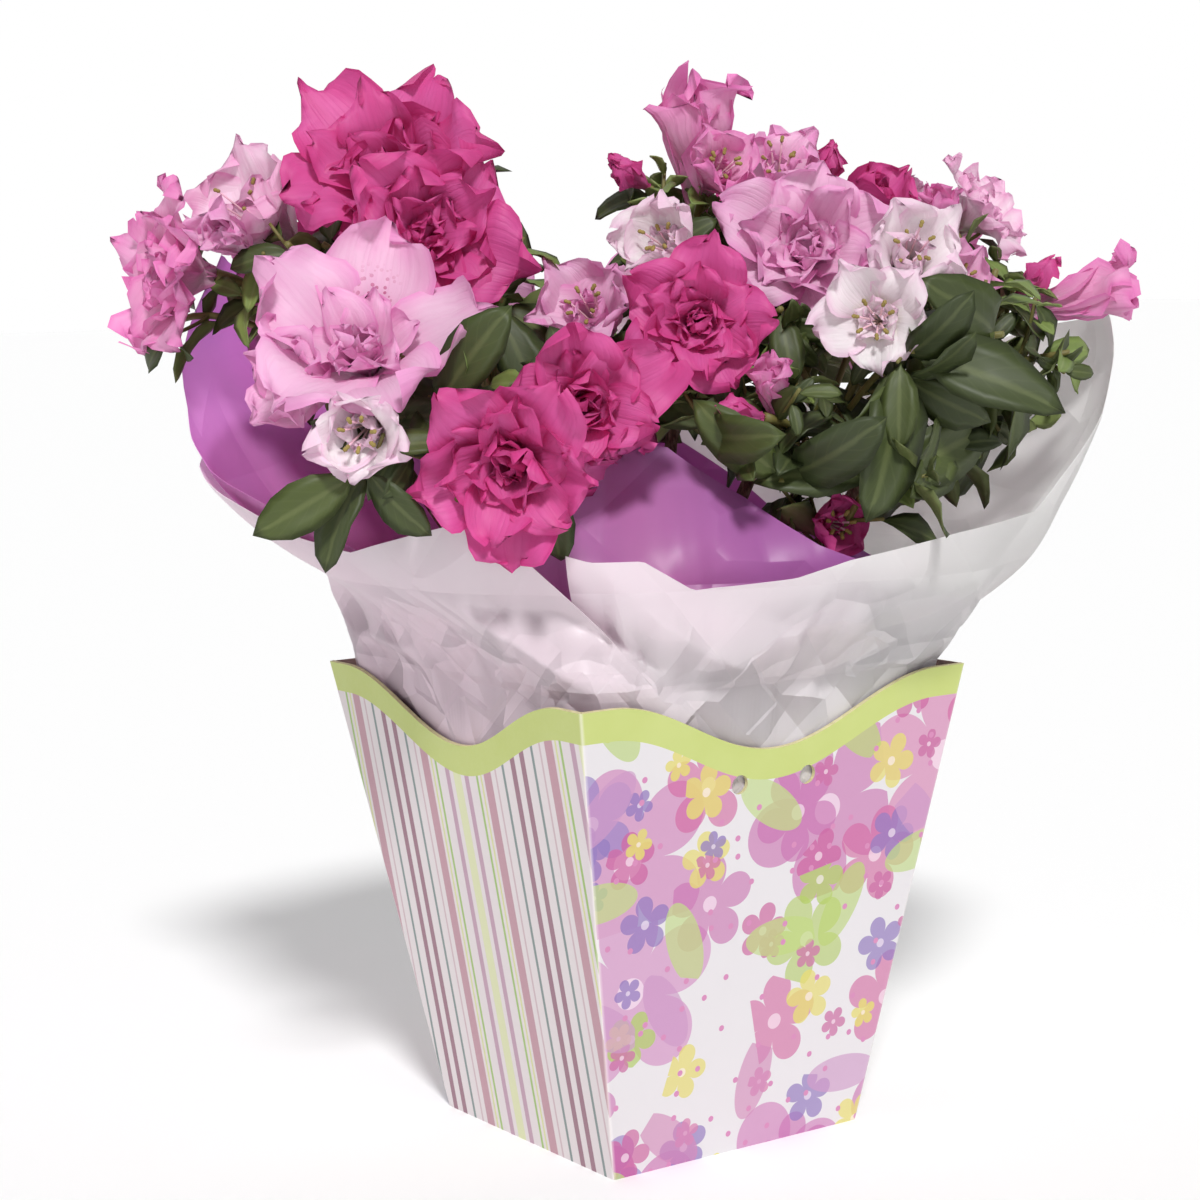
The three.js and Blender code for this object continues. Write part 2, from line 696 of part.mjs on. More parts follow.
// A twig that would touch a neighbour is left out with all it carries
const grownTwigs = SPRAYS.map((spray, index) => {
  const { stem, twigs } = branching(spray, index);
  fuse(limbOf(stem, 0), index);
  return twigs.filter((twig) => {
    const clear = !touches(limbOf(twig, CLEARANCE), index);
    if (clear) fuse(limbOf(twig, 0), index);
    return clear;
  });
});

grownTwigs.forEach((twigs, index) => {
  twigs.filter(({ bloom }) => bloom)
    .forEach(({ bloom, petalSeed }) => fuseWhereClear(petals(bloom, petalSeed), index));
});

grownTwigs.forEach((twigs, index) => {
  twigs.forEach((twig) => fuseWhereClear(leavesOn(twig), index, LEAF_FOOT_SHARE));
});

// One body a mass: what hangs loose of the largest is dropped
masses.forEach((parts, index) => {
  const bodies = joined(parts).decompose().sort((a, b) => b.volume() - a.volume());
  azalea.add(named(`spray_${SPRAYS[index].name}`, bodies[0], finish.spray));
});

export default azalea;
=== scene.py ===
"""A florist's azalea with pink double blooms, in a square card planter lined with wrapping film."""

from collections import namedtuple
from math import atan2, cos, degrees, exp, floor, hypot, pi, radians, sin, sqrt

import bmesh
import bpy
import numpy as np
from mathutils import Matrix, Vector, noise


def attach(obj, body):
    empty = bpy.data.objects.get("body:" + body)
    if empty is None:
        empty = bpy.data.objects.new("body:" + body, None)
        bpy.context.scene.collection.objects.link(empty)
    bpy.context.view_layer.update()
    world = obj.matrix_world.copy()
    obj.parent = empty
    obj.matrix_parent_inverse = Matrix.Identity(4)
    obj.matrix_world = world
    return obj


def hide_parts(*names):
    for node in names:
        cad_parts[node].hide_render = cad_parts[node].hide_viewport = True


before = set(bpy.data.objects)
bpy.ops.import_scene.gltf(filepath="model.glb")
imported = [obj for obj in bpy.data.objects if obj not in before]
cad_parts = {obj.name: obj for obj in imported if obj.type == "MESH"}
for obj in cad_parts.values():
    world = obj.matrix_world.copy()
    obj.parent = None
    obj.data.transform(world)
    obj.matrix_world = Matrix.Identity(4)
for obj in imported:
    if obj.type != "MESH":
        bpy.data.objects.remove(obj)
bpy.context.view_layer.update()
scene = bpy.context.scene
MM = 0.001

# Camera. It stands off the planter's near corner, a little above the rim, and looks slightly
# down, with the long lens of a catalogue picture and a small lean of the horizon.
VIEW_TURN = radians(-34.55)
VIEW_DOWN = radians(6.77)
VIEW_ROLL = radians(-1.29)
VIEW_DISTANCE = 0.75034
AIM_ASIDE = -10.89 * MM
AIM_HEIGHT = 147.78 * MM
SENSOR = 36.0
LENS = 80.53

view_right = Vector((cos(VIEW_TURN), sin(VIEW_TURN), 0))
view_back = Vector((sin(VIEW_TURN) * cos(VIEW_DOWN), -cos(VIEW_TURN) * cos(VIEW_DOWN), sin(VIEW_DOWN)))
aim = view_right * AIM_ASIDE + Vector((0, 0, AIM_HEIGHT))
camera_data = bpy.data.cameras.new("camera")
camera_data.sensor_width = SENSOR
camera_data.lens = LENS
camera = bpy.data.objects.new("camera", camera_data)
scene.collection.objects.link(camera)
camera.matrix_world = (
    Matrix.Translation(aim + view_back * VIEW_DISTANCE)
    @ Matrix.Rotation(VIEW_TURN, 4, "Z")
    @ Matrix.Rotation(pi / 2 - VIEW_DOWN, 4, "X")
    @ Matrix.Rotation(VIEW_ROLL, 4, "Z")
)
scene.camera = camera

# Floor and studio light. A white floor runs on to a bright white backdrop; the room's ceiling and
# its side behind the camera are dimmer, and one lamp shines from high above the camera.
FLOOR_SIDE = 30.0
FLOOR_COLOUR = (0.95, 0.95, 0.95, 1)
FLOOR_ROUGHNESS = 0.8
BACKDROP_LIGHT = 1.0
BACKDROP_FADE = (-0.2, 0.4)
ROOM_LIGHT = 0.5
CEILING_SHARE = 0.65
CEILING_FADE = (0.15, 0.75)
KEY_TOWARD = (-0.48, -0.88, 0.95)
KEY_STRENGTH = 2.5
KEY_SPREAD = radians(9)


class Reading:
    """A node's output, reckoned with as a number is: each step adds a Math node to its tree."""

    def __init__(self, socket):
        self.socket = socket

    def __add__(self, other):
        return calc("ADD", self, other)

    def __sub__(self, other):
        return calc("SUBTRACT", self, other)

    def __rsub__(self, other):
        return calc("SUBTRACT", other, self)

    def __mul__(self, other):
        return calc("MULTIPLY", self, other)

    def __truediv__(self, other):
        return calc("DIVIDE", self, other)

    def __pow__(self, other):
        return calc("POWER", self, other)

    def __abs__(self):
        return calc("ABSOLUTE", self)

    def __lt__(self, other):
        return calc("LESS_THAN", self, other)

    def __gt__(self, other):
        return calc("GREATER_THAN", self, other)


def feed(node, feeds):
    """Feeds a node's sockets, each with a value or with a reading of the same tree."""
    for socket, source in feeds.items():
        if isinstance(source, Reading):
            node.id_data.links.new(source.socket, node.inputs[socket])
        else:
            node.inputs[socket].default_value = source


def add_node(kind, feeds, tree=None, **settings):
    tree = tree or next(s.socket.id_data for s in feeds.values() if isinstance(s, Reading))
    node = tree.nodes.new(kind)
    for name, value in settings.items():
        setattr(node, name, value)
    feed(node, feeds)
    return node


def reading(kind, feeds, output=0, **settings):
    return Reading(add_node(kind, feeds, **settings).outputs[output])


def calc(operation, *feeds):
    return reading("ShaderNodeMath", dict(enumerate(feeds)), operation=operation)


def between(value, low, high, to_low=0.0, to_high=1.0):
    """The value carried from one range to another, and held at its ends."""
    feeds = {"Value": value, "From Min": low, "From Max": high, "To Min": to_low, "To Max": to_high}
    return reading("ShaderNodeMapRange", feeds)


def parts_of(vector):
    return [Reading(output) for output in add_node("ShaderNodeSeparateXYZ", {0: vector}).outputs]


def along_axis(spot, axis):
    return reading("ShaderNodeVectorMath", {0: spot, 1: axis}, "Value", operation="DOT_PRODUCT")


def new_material(name):
    material = bpy.data.materials.new(name)
    material.use_nodes = True
    return material


def finish(material, colour, roughness, relief=None):
    """Gives a material's shader its colour, roughness and relief, each a value or a reading."""
    shader = material.node_tree.nodes["Principled BSDF"]
    feed(shader, {"Base Color": colour, "Roughness": roughness})
    if relief:
        feed(shader, {"Normal": relief})


def mesh_object(name, bm, materials):
    mesh = bpy.data.meshes.new(name)
    bm.to_mesh(mesh)
    bm.free()
    for material in materials:
        mesh.materials.append(material)
    piece = bpy.data.objects.new(name, mesh)
    scene.collection.objects.link(piece)
    return piece


floor_white = new_material("floor_white")
finish(floor_white, FLOOR_COLOUR, FLOOR_ROUGHNESS)
floor_bm = bmesh.new()
bmesh.ops.create_grid(floor_bm, x_segments=1, y_segments=1, size=FLOOR_SIDE / 2)
mesh_object("floor", floor_bm, [floor_white])

room = bpy.data.worlds.new("room")
room.use_nodes = True
way = reading("ShaderNodeTexCoord", {}, "Generated", tree=room.node_tree)
wall_light = between(along_axis(way, -view_back), *BACKDROP_FADE, ROOM_LIGHT, BACKDROP_LIGHT)
height_share = between(parts_of(way)[2], *CEILING_FADE, 1.0, CEILING_SHARE)
feed(room.node_tree.nodes["Background"], {"Strength": wall_light * height_share, "Color": (1, 1, 1, 1)})
scene.world = room
scene.view_settings.view_transform = "Standard"

key_data = bpy.data.lights.new("key_lamp", "SUN")
key_data.energy = KEY_STRENGTH
key_data.angle = KEY_SPREAD
key_lamp = bpy.data.objects.new("key_lamp", key_data)
scene.collection.objects.link(key_lamp)
key_lamp.rotation_euler = Vector(KEY_TOWARD).to_track_quat("Z", "Y").to_euler()

# Card planter: a square box of thin card, printed outside, tapering to its foot, its rim cut in
# a wave on each wall. It is folded at the four corners, and two eyelets are punched in each
# printed wall for a cord handle.
PLANTER_HEIGHT = 130 * MM
PLANTER_TOP = 127.8 * MM
PLANTER_BASE = 83.4 * MM
CARD = 1.2 * MM
FOLD_ROUND = 0.7 * MM
WELD = 0.01 * MM
FINE_WELD = 0.0005 * MM
RIM_DIP = 16.4 * MM
WAVE_WIDTH = 108 * MM
EYELET_RADIUS = 2.6 * MM
EYELET_SPREAD = 11.3 * MM
EYELET_HEIGHT = 105 * MM
WALL_COLUMNS = 72
WALL_ROWS = 12


def planter_half(height):
    return (PLANTER_BASE + (PLANTER_TOP - PLANTER_BASE) * height / PLANTER_HEIGHT) / 2


def rim_height(along):
    within = abs(along) < WAVE_WIDTH / 2
    return PLANTER_HEIGHT - (RIM_DIP * (1 + cos(2 * pi * along / WAVE_WIDTH)) / 2 if within else 0)


def wall_point(share, rise):
    """A point of the wall that faces -Y: a share of its width from -1 to 1, and of its height."""
    top = PLANTER_HEIGHT
    for _ in range(6):
        top = rim_height(share * planter_half(top))
    height = rise * top
    half = planter_half(height)
    return Vector((share * half, -half, height))


planter_bm = bmesh.new()
for quarter in range(4):
    wall = bmesh.ops.create_grid(planter_bm, x_segments=WALL_COLUMNS, y_segments=WALL_ROWS, size=1)
    for vert in wall["verts"]:
        vert.co = wall_point(vert.co.x, (vert.co.y + 1) / 2)
    bmesh.ops.rotate(planter_bm, verts=wall["verts"], matrix=Matrix.Rotation(quarter * pi / 2, 3, "Z"))
bmesh.ops.remove_doubles(planter_bm, verts=planter_bm.verts, dist=WELD)
foot_edges = [e for e in planter_bm.edges if all(v.co.z < WELD for v in e.verts)]
bmesh.ops.contextual_create(planter_bm, geom=foot_edges)
corners = {v for v in planter_bm.verts if v.co.xy.length > PLANTER_BASE / 2
           and abs(abs(v.co.x) - abs(v.co.y)) < WELD}
folds = [e for e in planter_bm.edges if corners.issuperset(e.verts)]
bmesh.ops.bevel(planter_bm, geom=folds, offset=FOLD_ROUND, segments=3, profile=0.5, affect="EDGES",
                material=-1)
bmesh.ops.recalc_face_normals(planter_bm, faces=planter_bm.faces)
planter = mesh_object("planter_card", planter_bm, [])


def srgb(code):
    """A colour's linear values from its six-figure code."""
    shares = [int(code[i:i + 2], 16) / 255 for i in (0, 2, 4)]
    return (*(c / 12.92 if c < 0.04045 else ((c + 0.055) / 1.055) ** 2.4 for c in shares), 1)


def mix_colour(share, first, second):
    """The first colour covered by a share of the second. Each is a colour's code or a reading."""
    first, second = (srgb(colour) if isinstance(colour, str) else colour for colour in (first, second))
    return reading("ShaderNodeMix", {0: share, 6: first, 7: second}, 2, data_type="RGBA")


def ramp(value, stops, steps=False):
    node = add_node("ShaderNodeValToRGB", {0: value})
    node.color_ramp.interpolation = "CONSTANT" if steps else "LINEAR"
    elements = node.color_ramp.elements
    while len(elements) < len(stops):
        elements.new(0.5)
    for element, (position, code) in zip(elements, stops):
        element.position = position
        element.color = srgb(code)
    return Reading(node.outputs[0])


def noise_of(spot, scale, detail=2.0, roughness=0.5):
    feeds = {"Vector": spot, "Scale": scale, "Detail": detail, "Roughness": roughness}
    return reading("ShaderNodeTexNoise", feeds)


def bump(height, strength, distance):
    return reading("ShaderNodeBump", {"Height": height, "Strength": strength, "Distance": distance})


def place_on(material):
    """The place on a piece, in its own frame."""
    return reading("ShaderNodeTexCoord", {}, "Object", tree=material.node_tree)


def vector_of(x, y, z):
    return reading("ShaderNodeCombineXYZ", {0: x, 1: y, 2: z})


# The print: soft stripes on the walls that face -X and +X, overlapping flowers, leaf ovals and
# dots in see-through inks on the walls that face -Y and +Y, and a green band under the rim.
BAND_WIDTH = 8.3 * MM
BAND_GREENS = ("B9C56D", "C6D083")
STRIPE_REPEAT = 65 * MM
STRIPE_CENTRE = 2.5 * MM
STRIPE_GROUND = "DFD6D8"
STRIPES = (
    (0.0, 1.8, "D8DBB2"), (4.8, 1.1, "BC9AAD"), (10.3, 0.5, "9FBE72"), (12.5, 0.4, "D3D699"),
    (15.9, 1.9, "BE94A0"), (20.4, 0.35, "CBB3BA"), (24.5, 0.55, "83908F"), (29.9, 1.1, "9B7483"),
)
FLOWER_GROUND = "DBD7DA"
FLOWER_LAYERS = (
    # cell, reach of the petals in cells, share of cells filled, depth of the ink, inks
    (52 * MM, 0.52, 0.92, 0.88, ("C68DB6", "CC8FB2", "C283B0", "C997BD")),
    (33 * MM, 0.42, 0.7, 0.74, ("C45F98", "BC6AA6", "AABF5C", "8F78B6")),
    (21 * MM, 0.38, 0.46, 0.78, ("BE5694", "876EB0", "A6BF54", "D6CB62")),
    (12 * MM, 0.36, 0.24, 0.82, ("D6CB62", "BE6499", "876EB0", "C877A3")),
)
FLOWER_NOTCH = 0.4
FLOWER_ROUND = 0.55
FLOWER_EYE = "F3E6EE"
EYE_REACH = 0.16
EYE_DEPTH = 0.5
OVAL_CELL = 27 * MM
OVAL_LONG = 0.46
OVAL_BROAD = 0.2
OVALS_FILLED = 0.6
OVAL_DEPTH = 0.7
OVAL_INKS = ("AEC465", "BF8CB8", "B4C974", "C27CAA")
DOT_CELL = 6.5 * MM
DOT_REACH = 0.13
DOTS_FILLED = 0.3
DOT_INK = "CC84B0"
PRINT_SHIFT = 0.37
LAYER_SHIFT = (0.113, 0.071)
SCATTER = 0.7
WORN_FOLD = "F4EDEA"
WORN_WIDTH = 1.0 * MM
WORN_SHARE = 0.45

card_print = new_material("card_print")
spot = place_on(card_print)
x, y, z = parts_of(spot)
on_striped_wall = abs(x) > abs(y)
print_x = x + (y > 0.0) * PRINT_SHIFT

half_repeat = STRIPE_REPEAT / 2
stripe_stops = []
for middle, half, ink in STRIPES:
    stripe_stops.append((max(0, middle - half) * MM / half_repeat, ink))
    stripe_stops.append(((middle + half) * MM / half_repeat, STRIPE_GROUND))
stripe_spot = calc("PINGPONG", y - STRIPE_CENTRE, half_repeat) / half_repeat
stripes = ramp(stripe_spot, stripe_stops, steps=True)


def motif(layer, cell):
    """Places scattered over the wall: the way from the nearest in cells, its angle, and a chance."""
    shift_x, shift_z = (shift * (layer + 1) for shift in LAYER_SHIFT)
    at = vector_of(print_x + shift_x, z + shift_z, 0.0)
    places = add_node("ShaderNodeTexVoronoi", {"Vector": at, "Scale": 1 / cell, "Randomness": SCATTER},
                      voronoi_dimensions="2D")
    nearest = Reading(places.outputs["Position"])
    dx, dy, _ = parts_of(reading("ShaderNodeVectorMath", {0: at, 1: nearest}, operation="SUBTRACT"))
    first, second, _ = parts_of(Reading(places.outputs["Color"]))
    angle = calc("ARCTAN2", dy, dx) + second * (2 * pi)
    return calc("SQRT", dx * dx + dy * dy) / cell, angle, first


def ink_of(pick, inks):
    return ramp(calc("FRACT", pick), [(i / len(inks), ink) for i, ink in enumerate(inks)], steps=True)


printed = srgb(FLOWER_GROUND)
for layer, (cell, petal_reach, filled, depth, inks) in enumerate(FLOWER_LAYERS):
    reach, angle, pick = motif(layer, cell)
    lobe = abs(calc("COSINE", angle * 2.5)) ** FLOWER_ROUND
    outline = (lobe * (1 - FLOWER_NOTCH) + FLOWER_NOTCH) * petal_reach
    shown = (reach < outline) * (pick < filled)
    eye = shown * (reach < petal_reach * EYE_REACH)
    printed = mix_colour(shown * depth, printed, ink_of(pick * 7.3, inks))
    printed = mix_colour(eye * EYE_DEPTH, printed, FLOWER_EYE)

reach, angle, pick = motif(5, OVAL_CELL)
oval_x = reach * calc("COSINE", angle) / OVAL_LONG
oval_y = reach * calc("SINE", angle) / OVAL_BROAD
shown = (oval_x * oval_x + oval_y * oval_y < 1.0) * (pick < OVALS_FILLED)
printed = mix_colour(shown * OVAL_DEPTH, printed, ink_of(pick * 9.7, OVAL_INKS))
reach, _, pick = motif(6, DOT_CELL)
printed = mix_colour((reach < DOT_REACH) * (pick < DOTS_FILLED), printed, DOT_INK)

wall_colour = mix_colour(on_striped_wall, printed, stripes)
along = x * (1.0 - on_striped_wall) + y * on_striped_wall
wave = calc("COSINE", calc("MINIMUM", abs(along), WAVE_WIDTH / 2) * (2 * pi / WAVE_WIDTH))
below_rim = PLANTER_HEIGHT - (wave + 1.0) * (RIM_DIP / 2) - z
band_colour = mix_colour(noise_of(spot, 60.0), *BAND_GREENS)
wall_colour = mix_colour(below_rim < BAND_WIDTH, wall_colour, band_colour)
worn = between(abs(abs(x) - abs(y)), 0.0, WORN_WIDTH, WORN_SHARE, 0.0)
wall_colour = mix_colour(worn, wall_colour, WORN_FOLD)
paper_grain = noise_of(spot, 900.0, 3.0)
soft_dents = noise_of(spot, 28.0, 1.0)
card_relief = bump(paper_grain * 0.05 + soft_dents, 0.35, 0.6 * MM)
finish(card_print, wall_colour, between(paper_grain, 0.3, 0.7, 0.42, 0.56), card_relief)


def mottled_material(name, patches, colours, roughness, relief=None):
    """Two tones in patches of a noise. Relief is the bump's noise, its strength and its depth."""
    material = new_material(name)
    spot = place_on(material)
    if relief:
        grain, strength, depth = relief
        relief = bump(noise_of(spot, *grain), strength, depth)
    finish(material, mix_colour(noise_of(spot, *patches), *colours), roughness, relief)
    return material


card_inside = mottled_material("card_inside", (220.0, 4.0), ("9C7F78", "B39A92"), 0.85)
card_edge = mottled_material("card_edge", (500.0, 3.0), ("B9AE7C", "E2DDB0"), 0.8)
planter_card = (card_print, card_inside, card_edge)
for material in planter_card:
    planter.data.materials.append(material)


def settle(piece):
    """Makes a piece's modifiers part of its mesh."""
    mesh = bpy.data.meshes.new_from_object(piece.evaluated_get(bpy.context.evaluated_depsgraph_get()))
    piece.modifiers.clear()
    piece.data = mesh


def stand_for(piece, slot, *nodes):
    """Lets a piece ride on the object's one body, in the place of CAD nodes, which it hides. The slot is
    not used.
    """
    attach(piece, "root")
    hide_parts(*nodes)


wall_thickness = planter.modifiers.new("card", "SOLIDIFY")
wall_thickness.thickness = CARD
wall_thickness.offset = -1
wall_thickness.use_even_offset = True
wall_thickness.material_offset = 1
wall_thickness.material_offset_rim = 2
settle(planter)

punch_bm = bmesh.new()
for side in (-1, 1):
    pin = bmesh.ops.create_cone(punch_bm, cap_ends=True, segments=40, radius1=EYELET_RADIUS,
                                radius2=EYELET_RADIUS, depth=PLANTER_TOP + 20 * MM)
    bmesh.ops.rotate(punch_bm, verts=pin["verts"], matrix=Matrix.Rotation(pi / 2, 3, "X"))
    bmesh.ops.translate(punch_bm, verts=pin["verts"], vec=(side * EYELET_SPREAD, 0, EYELET_HEIGHT))
for face in punch_bm.faces:
    face.material_index = 2
punch = mesh_object("punch", punch_bm, planter_card)
holes = planter.modifiers.new("eyelets", "BOOLEAN")
holes.operation = "DIFFERENCE"
holes.solver = "EXACT"
holes.object = punch
settle(planter)
bpy.data.objects.remove(punch)
stand_for(planter, "card", "planter_box")

# Nursery pot: a round pot of moulded brown plastic with a thick lip, standing on the planter's
# floor inside the film. It narrows to its foot.
CLEARANCE = 0.3 * MM
POT_BASE_RADIUS = 35 * MM
POT_RIM_RADIUS = 48 * MM
POT_HEIGHT = 98 * MM
POT_WALL = 1.6 * MM
POT_LIP = 2.4 * MM
POT_LIP_DEPTH = 9 * MM
POT_STEPS = 72
POT_FLOOR = CARD + CLEARANCE


def pot_radius(height):
    return POT_BASE_RADIUS + (POT_RIM_RADIUS - POT_BASE_RADIUS) * height / POT_HEIGHT


def turned(profile):
    """A bmesh spun about the axis from a profile of radius and height that starts and ends on it."""
    bm = bmesh.new()
    ring = [bm.verts.new((radius, 0, height)) for radius, height in profile]
    line = [bm.edges.new(pair) for pair in zip(ring, ring[1:])]
    bmesh.ops.spin(bm, geom=ring + line, cent=(0, 0, 0), axis=(0, 0, 1), angle=2 * pi, steps=POT_STEPS,
                   use_merge=True)
    bmesh.ops.remove_doubles(bm, verts=bm.verts, dist=WELD)
    bmesh.ops.recalc_face_normals(bm, faces=bm.faces)
    return bm


def shade_smooth(piece, sharp_over):
    """Smooth shading, kept sharp at edges that turn by more than an angle in degrees."""
    piece.data.shade_smooth()
    piece.data.set_sharp_from_angle(angle=radians(sharp_over))


lip_foot = POT_HEIGHT - POT_LIP_DEPTH
pot_bm = turned([
    (0, POT_FLOOR), (POT_BASE_RADIUS, POT_FLOOR), (pot_radius(lip_foot), lip_foot),
    (pot_radius(lip_foot) + POT_LIP, lip_foot), (POT_RIM_RADIUS + POT_LIP, POT_HEIGHT),
    (POT_RIM_RADIUS - POT_WALL, POT_HEIGHT), (POT_BASE_RADIUS - POT_WALL, POT_FLOOR + POT_WALL),
    (0, POT_FLOOR + POT_WALL),
])
pot_plastic = mottled_material("pot_plastic", (45.0,), ("6A3F32", "7C4D3D"), 0.5,
                               ((1400.0,), 0.15, 0.2 * MM))
pot = mesh_object("pot_moulded", pot_bm, [pot_plastic])
shade_smooth(pot, 35)
stand_for(pot, "pot", "nursery_pot")

# Peat: the root ball fills the pot. Its top is nearly level with the pot's rim, a little higher
# in the middle, and rough with lumps and crumbs.
PEAT_TOP = 93 * MM
PEAT_CROWN = 3 * MM
PEAT_ROUGHNESS = 1.1 * MM
PEAT_LUMPS = (260, 0.6)
PEAT_CRUMBS = (620, 0.5)
PEAT_SUNK = 0.6
PEAT_BROWNS = ((0.3, "1A100B"), (0.55, "38261A"), (0.75, "5A4230"))
PEAT_RINGS = 26
peat_foot = POT_FLOOR + POT_WALL + CLEARANCE
peat_inset = POT_WALL + 2 * CLEARANCE
peat_radius = pot_radius(PEAT_TOP - PEAT_CROWN) - peat_inset
peat_profile = [(0, peat_foot), (pot_radius(peat_foot) - peat_inset, peat_foot)]
for ring in range(PEAT_RINGS):
    share = 1 - ring / PEAT_RINGS
    peat_profile.append((peat_radius * share, PEAT_TOP - PEAT_CROWN * min(1, 3 * share ** 6 + 0.05)))
peat_profile.append((0, PEAT_TOP - PEAT_CROWN * 0.05))
peat_bm = turned(peat_profile)
for vert in peat_bm.verts:
    if vert.co.z > PEAT_TOP - PEAT_CROWN - WELD:
        lumps, crumbs = (noise.noise(vert.co * fine) * high for fine, high in (PEAT_LUMPS, PEAT_CRUMBS))
        vert.co.z += PEAT_ROUGHNESS * (lumps + crumbs - PEAT_SUNK)


def coarse_material(name, stretch, grain, tones, roughness, strength, depth):
    """A coarse finish: its tones and relief come from one grain, drawn out along an axis by stretch."""
    material = new_material(name)
    drawn_out = reading("ShaderNodeMapping", {"Vector": place_on(material), "Scale": stretch})
    crumb = noise_of(drawn_out, *grain)
    finish(material, ramp(crumb, tones), roughness, bump(crumb, strength, depth))
    return material


peat_crumb = coarse_material("peat_crumb", (1, 1, 1), (420.0, 6.0, 0.7), PEAT_BROWNS, 0.95, 1.0, 1.5 * MM)
peat = mesh_object("peat_top", peat_bm, [peat_crumb])
shade_smooth(peat, 60)
stand_for(peat, "peat", "peat")

# Wrap: two sheets of crisp plastic film, frosted white outside and violet inside, tucked down
# between pot and card, gathered at the rim and flared into an open collar. At the near corner the
# frosted sheet's left end laps over its right one, and the violet sheet folds in over the plant.
FILM = 0.8 * MM
FILM_GAP = 2.1 * MM
FILM_SKIN = 0.14 * MM
FILM_GATHER_HEIGHT = PLANTER_HEIGHT + 1 * MM
FILM_CORNER_POWER = 12
FILM_OPEN_POWER = 4
NEAR_CORNER = -10.45
BELLY_START = 0.54
FILM_COLUMNS = 320
FILM_ROWS = 60
FILM_LOW_ROWS = 8
FILM_SMOOTHING = 4
PLEAT_DEPTH = 1.6 * MM
PLEAT_HEIGHT = 142 * MM
PLEAT_REACH = 17 * MM
CRUMPLE_DEPTH = 13 * MM
CRUMPLE_CELL = (18, 20 * MM)
PLANE_DEPTH = 4.2 * MM
PLANE_CELL = (24, 27 * MM)
FOLD_PLANE_DEPTH = 7 * MM
FOLD_PLANE_CELL = (18, 24 * MM)
WARP = 8
PLANES_RISE = 22 * MM
CORNER_RISE = (12 * MM, 20 * MM)
SEAM_START = -13
SEAM_TUCK = 1.3 * MM
FLAP_FOOT = 3
FLAP_LEAN = 27
FLAP_HEIGHT = 47 * MM
FLAP_LIFT = 4.5 * MM
SEAM_REACH = 20
SEAM_RISE = 12 * MM
FILM_FADE_UP = (0.145, 0.225)
FILM_FADE_RIGHT = (-0.05, 0.06)
FILM_CLOUDS = (18.0, 0.7)
CREASE_LEAN = (0.7, 0.5, 0.6)
CREASE_SCALES = (20.0, 46.0)
CREASE_BUMP = (0.9, 18.0 * MM)
FILM_EDGE = (
    # turn from the front in degrees; reach and height of the form's edge in mm; how far the form is
    # pinched low and bellied high; heights of the frosted sheet's edge and the violet's; its fold
    (-180, 106, 226, 1, 186, 196, 0),
    (-153, 106, 250, 2, 190, 250, 0),
    (-126, 112, 240, 3, 195, 232, 0),
    (-99, 120, 248, 4, 198, 246, 0),
    (-90, 123, 228, 4, 192, 204, 0),
    (-81, 118, 206, 4, 185, 188, 0),
    (-63, 99, 186, 3, 171, 175, 0),
    (-54, 94, 180, 1, 168, 168, 0),
    (-27, 95, 180, 0, 178, 168, 0),
    (-18, 90, 180, 0, 171, 174, 14),
    (-9, 86, 178, 0, 167, 190, 26),
    (0, 84, 174, 0, 167, 194, 26),
    (9, 83, 172, 0, 159, 193, 26),
    (27, 88, 172, 0, 161, 180, 20),
    (36, 92, 172, 0, 165, 168, 8),
    (54, 102, 174, 0, 170, 156, 0),
    (72, 113, 180, 0, 173, 150, 0),
    (90, 131, 212, 0, 198, 150, 0),
    (99, 138, 226, 0, 224, 150, 0),
    (117, 135, 224, 1, 220, 150, 0),
    (153, 116, 214, 1, 196, 165, 0),
    (180, 106, 226, 1, 186, 196, 0),
)
EDGE_TURNS = [row[0] for row in FILM_EDGE]
FORM_REACH, FORM_HEIGHT, FORM_BELLY, FROSTED_EDGE, VIOLET_EDGE, FOLD = range(1, 7)
FOLD_MOST = max(row[FOLD] for row in FILM_EDGE)
FRONT_BEARING = radians(235.45)
FRONT = np.array((cos(FRONT_BEARING), sin(FRONT_BEARING), 0.0))
RIGHT = np.array((-FRONT[1], FRONT[0], 0.0))
UP = np.array((0.0, 0.0, 1.0))


def place(across, toward, up):
    """A point given in millimetres to the right, toward the front's viewer and up."""
    return (RIGHT * across + FRONT * toward + UP * up) * MM


def heading(turn, rise):
    """A direction given by its turn from the front, to the right, and its rise, in degrees."""
    t, r = radians(turn), radians(rise)
    return RIGHT * (sin(t) * cos(r)) + FRONT * (cos(t) * cos(r)) + UP * sin(r)


def chance(seed):
    """The same number between 0 and 1 for the same seed."""
    wave = sin(seed * 12.9898 + 4.1) * 43758.5453
    return wave - floor(wave)


def edge_value(turn, column):
    return float(np.interp((turn + 180) % 360 - 180, EDGE_TURNS, [row[column] for row in FILM_EDGE]))


def smooth_edge_value(turn, column):
    return sum(edge_value(turn + shift, column) for shift in (-FILM_SMOOTHING, 0, FILM_SMOOTHING)) / 3


def held(value):
    """The value, held between 0 and 1."""
    return min(1, max(0, value))


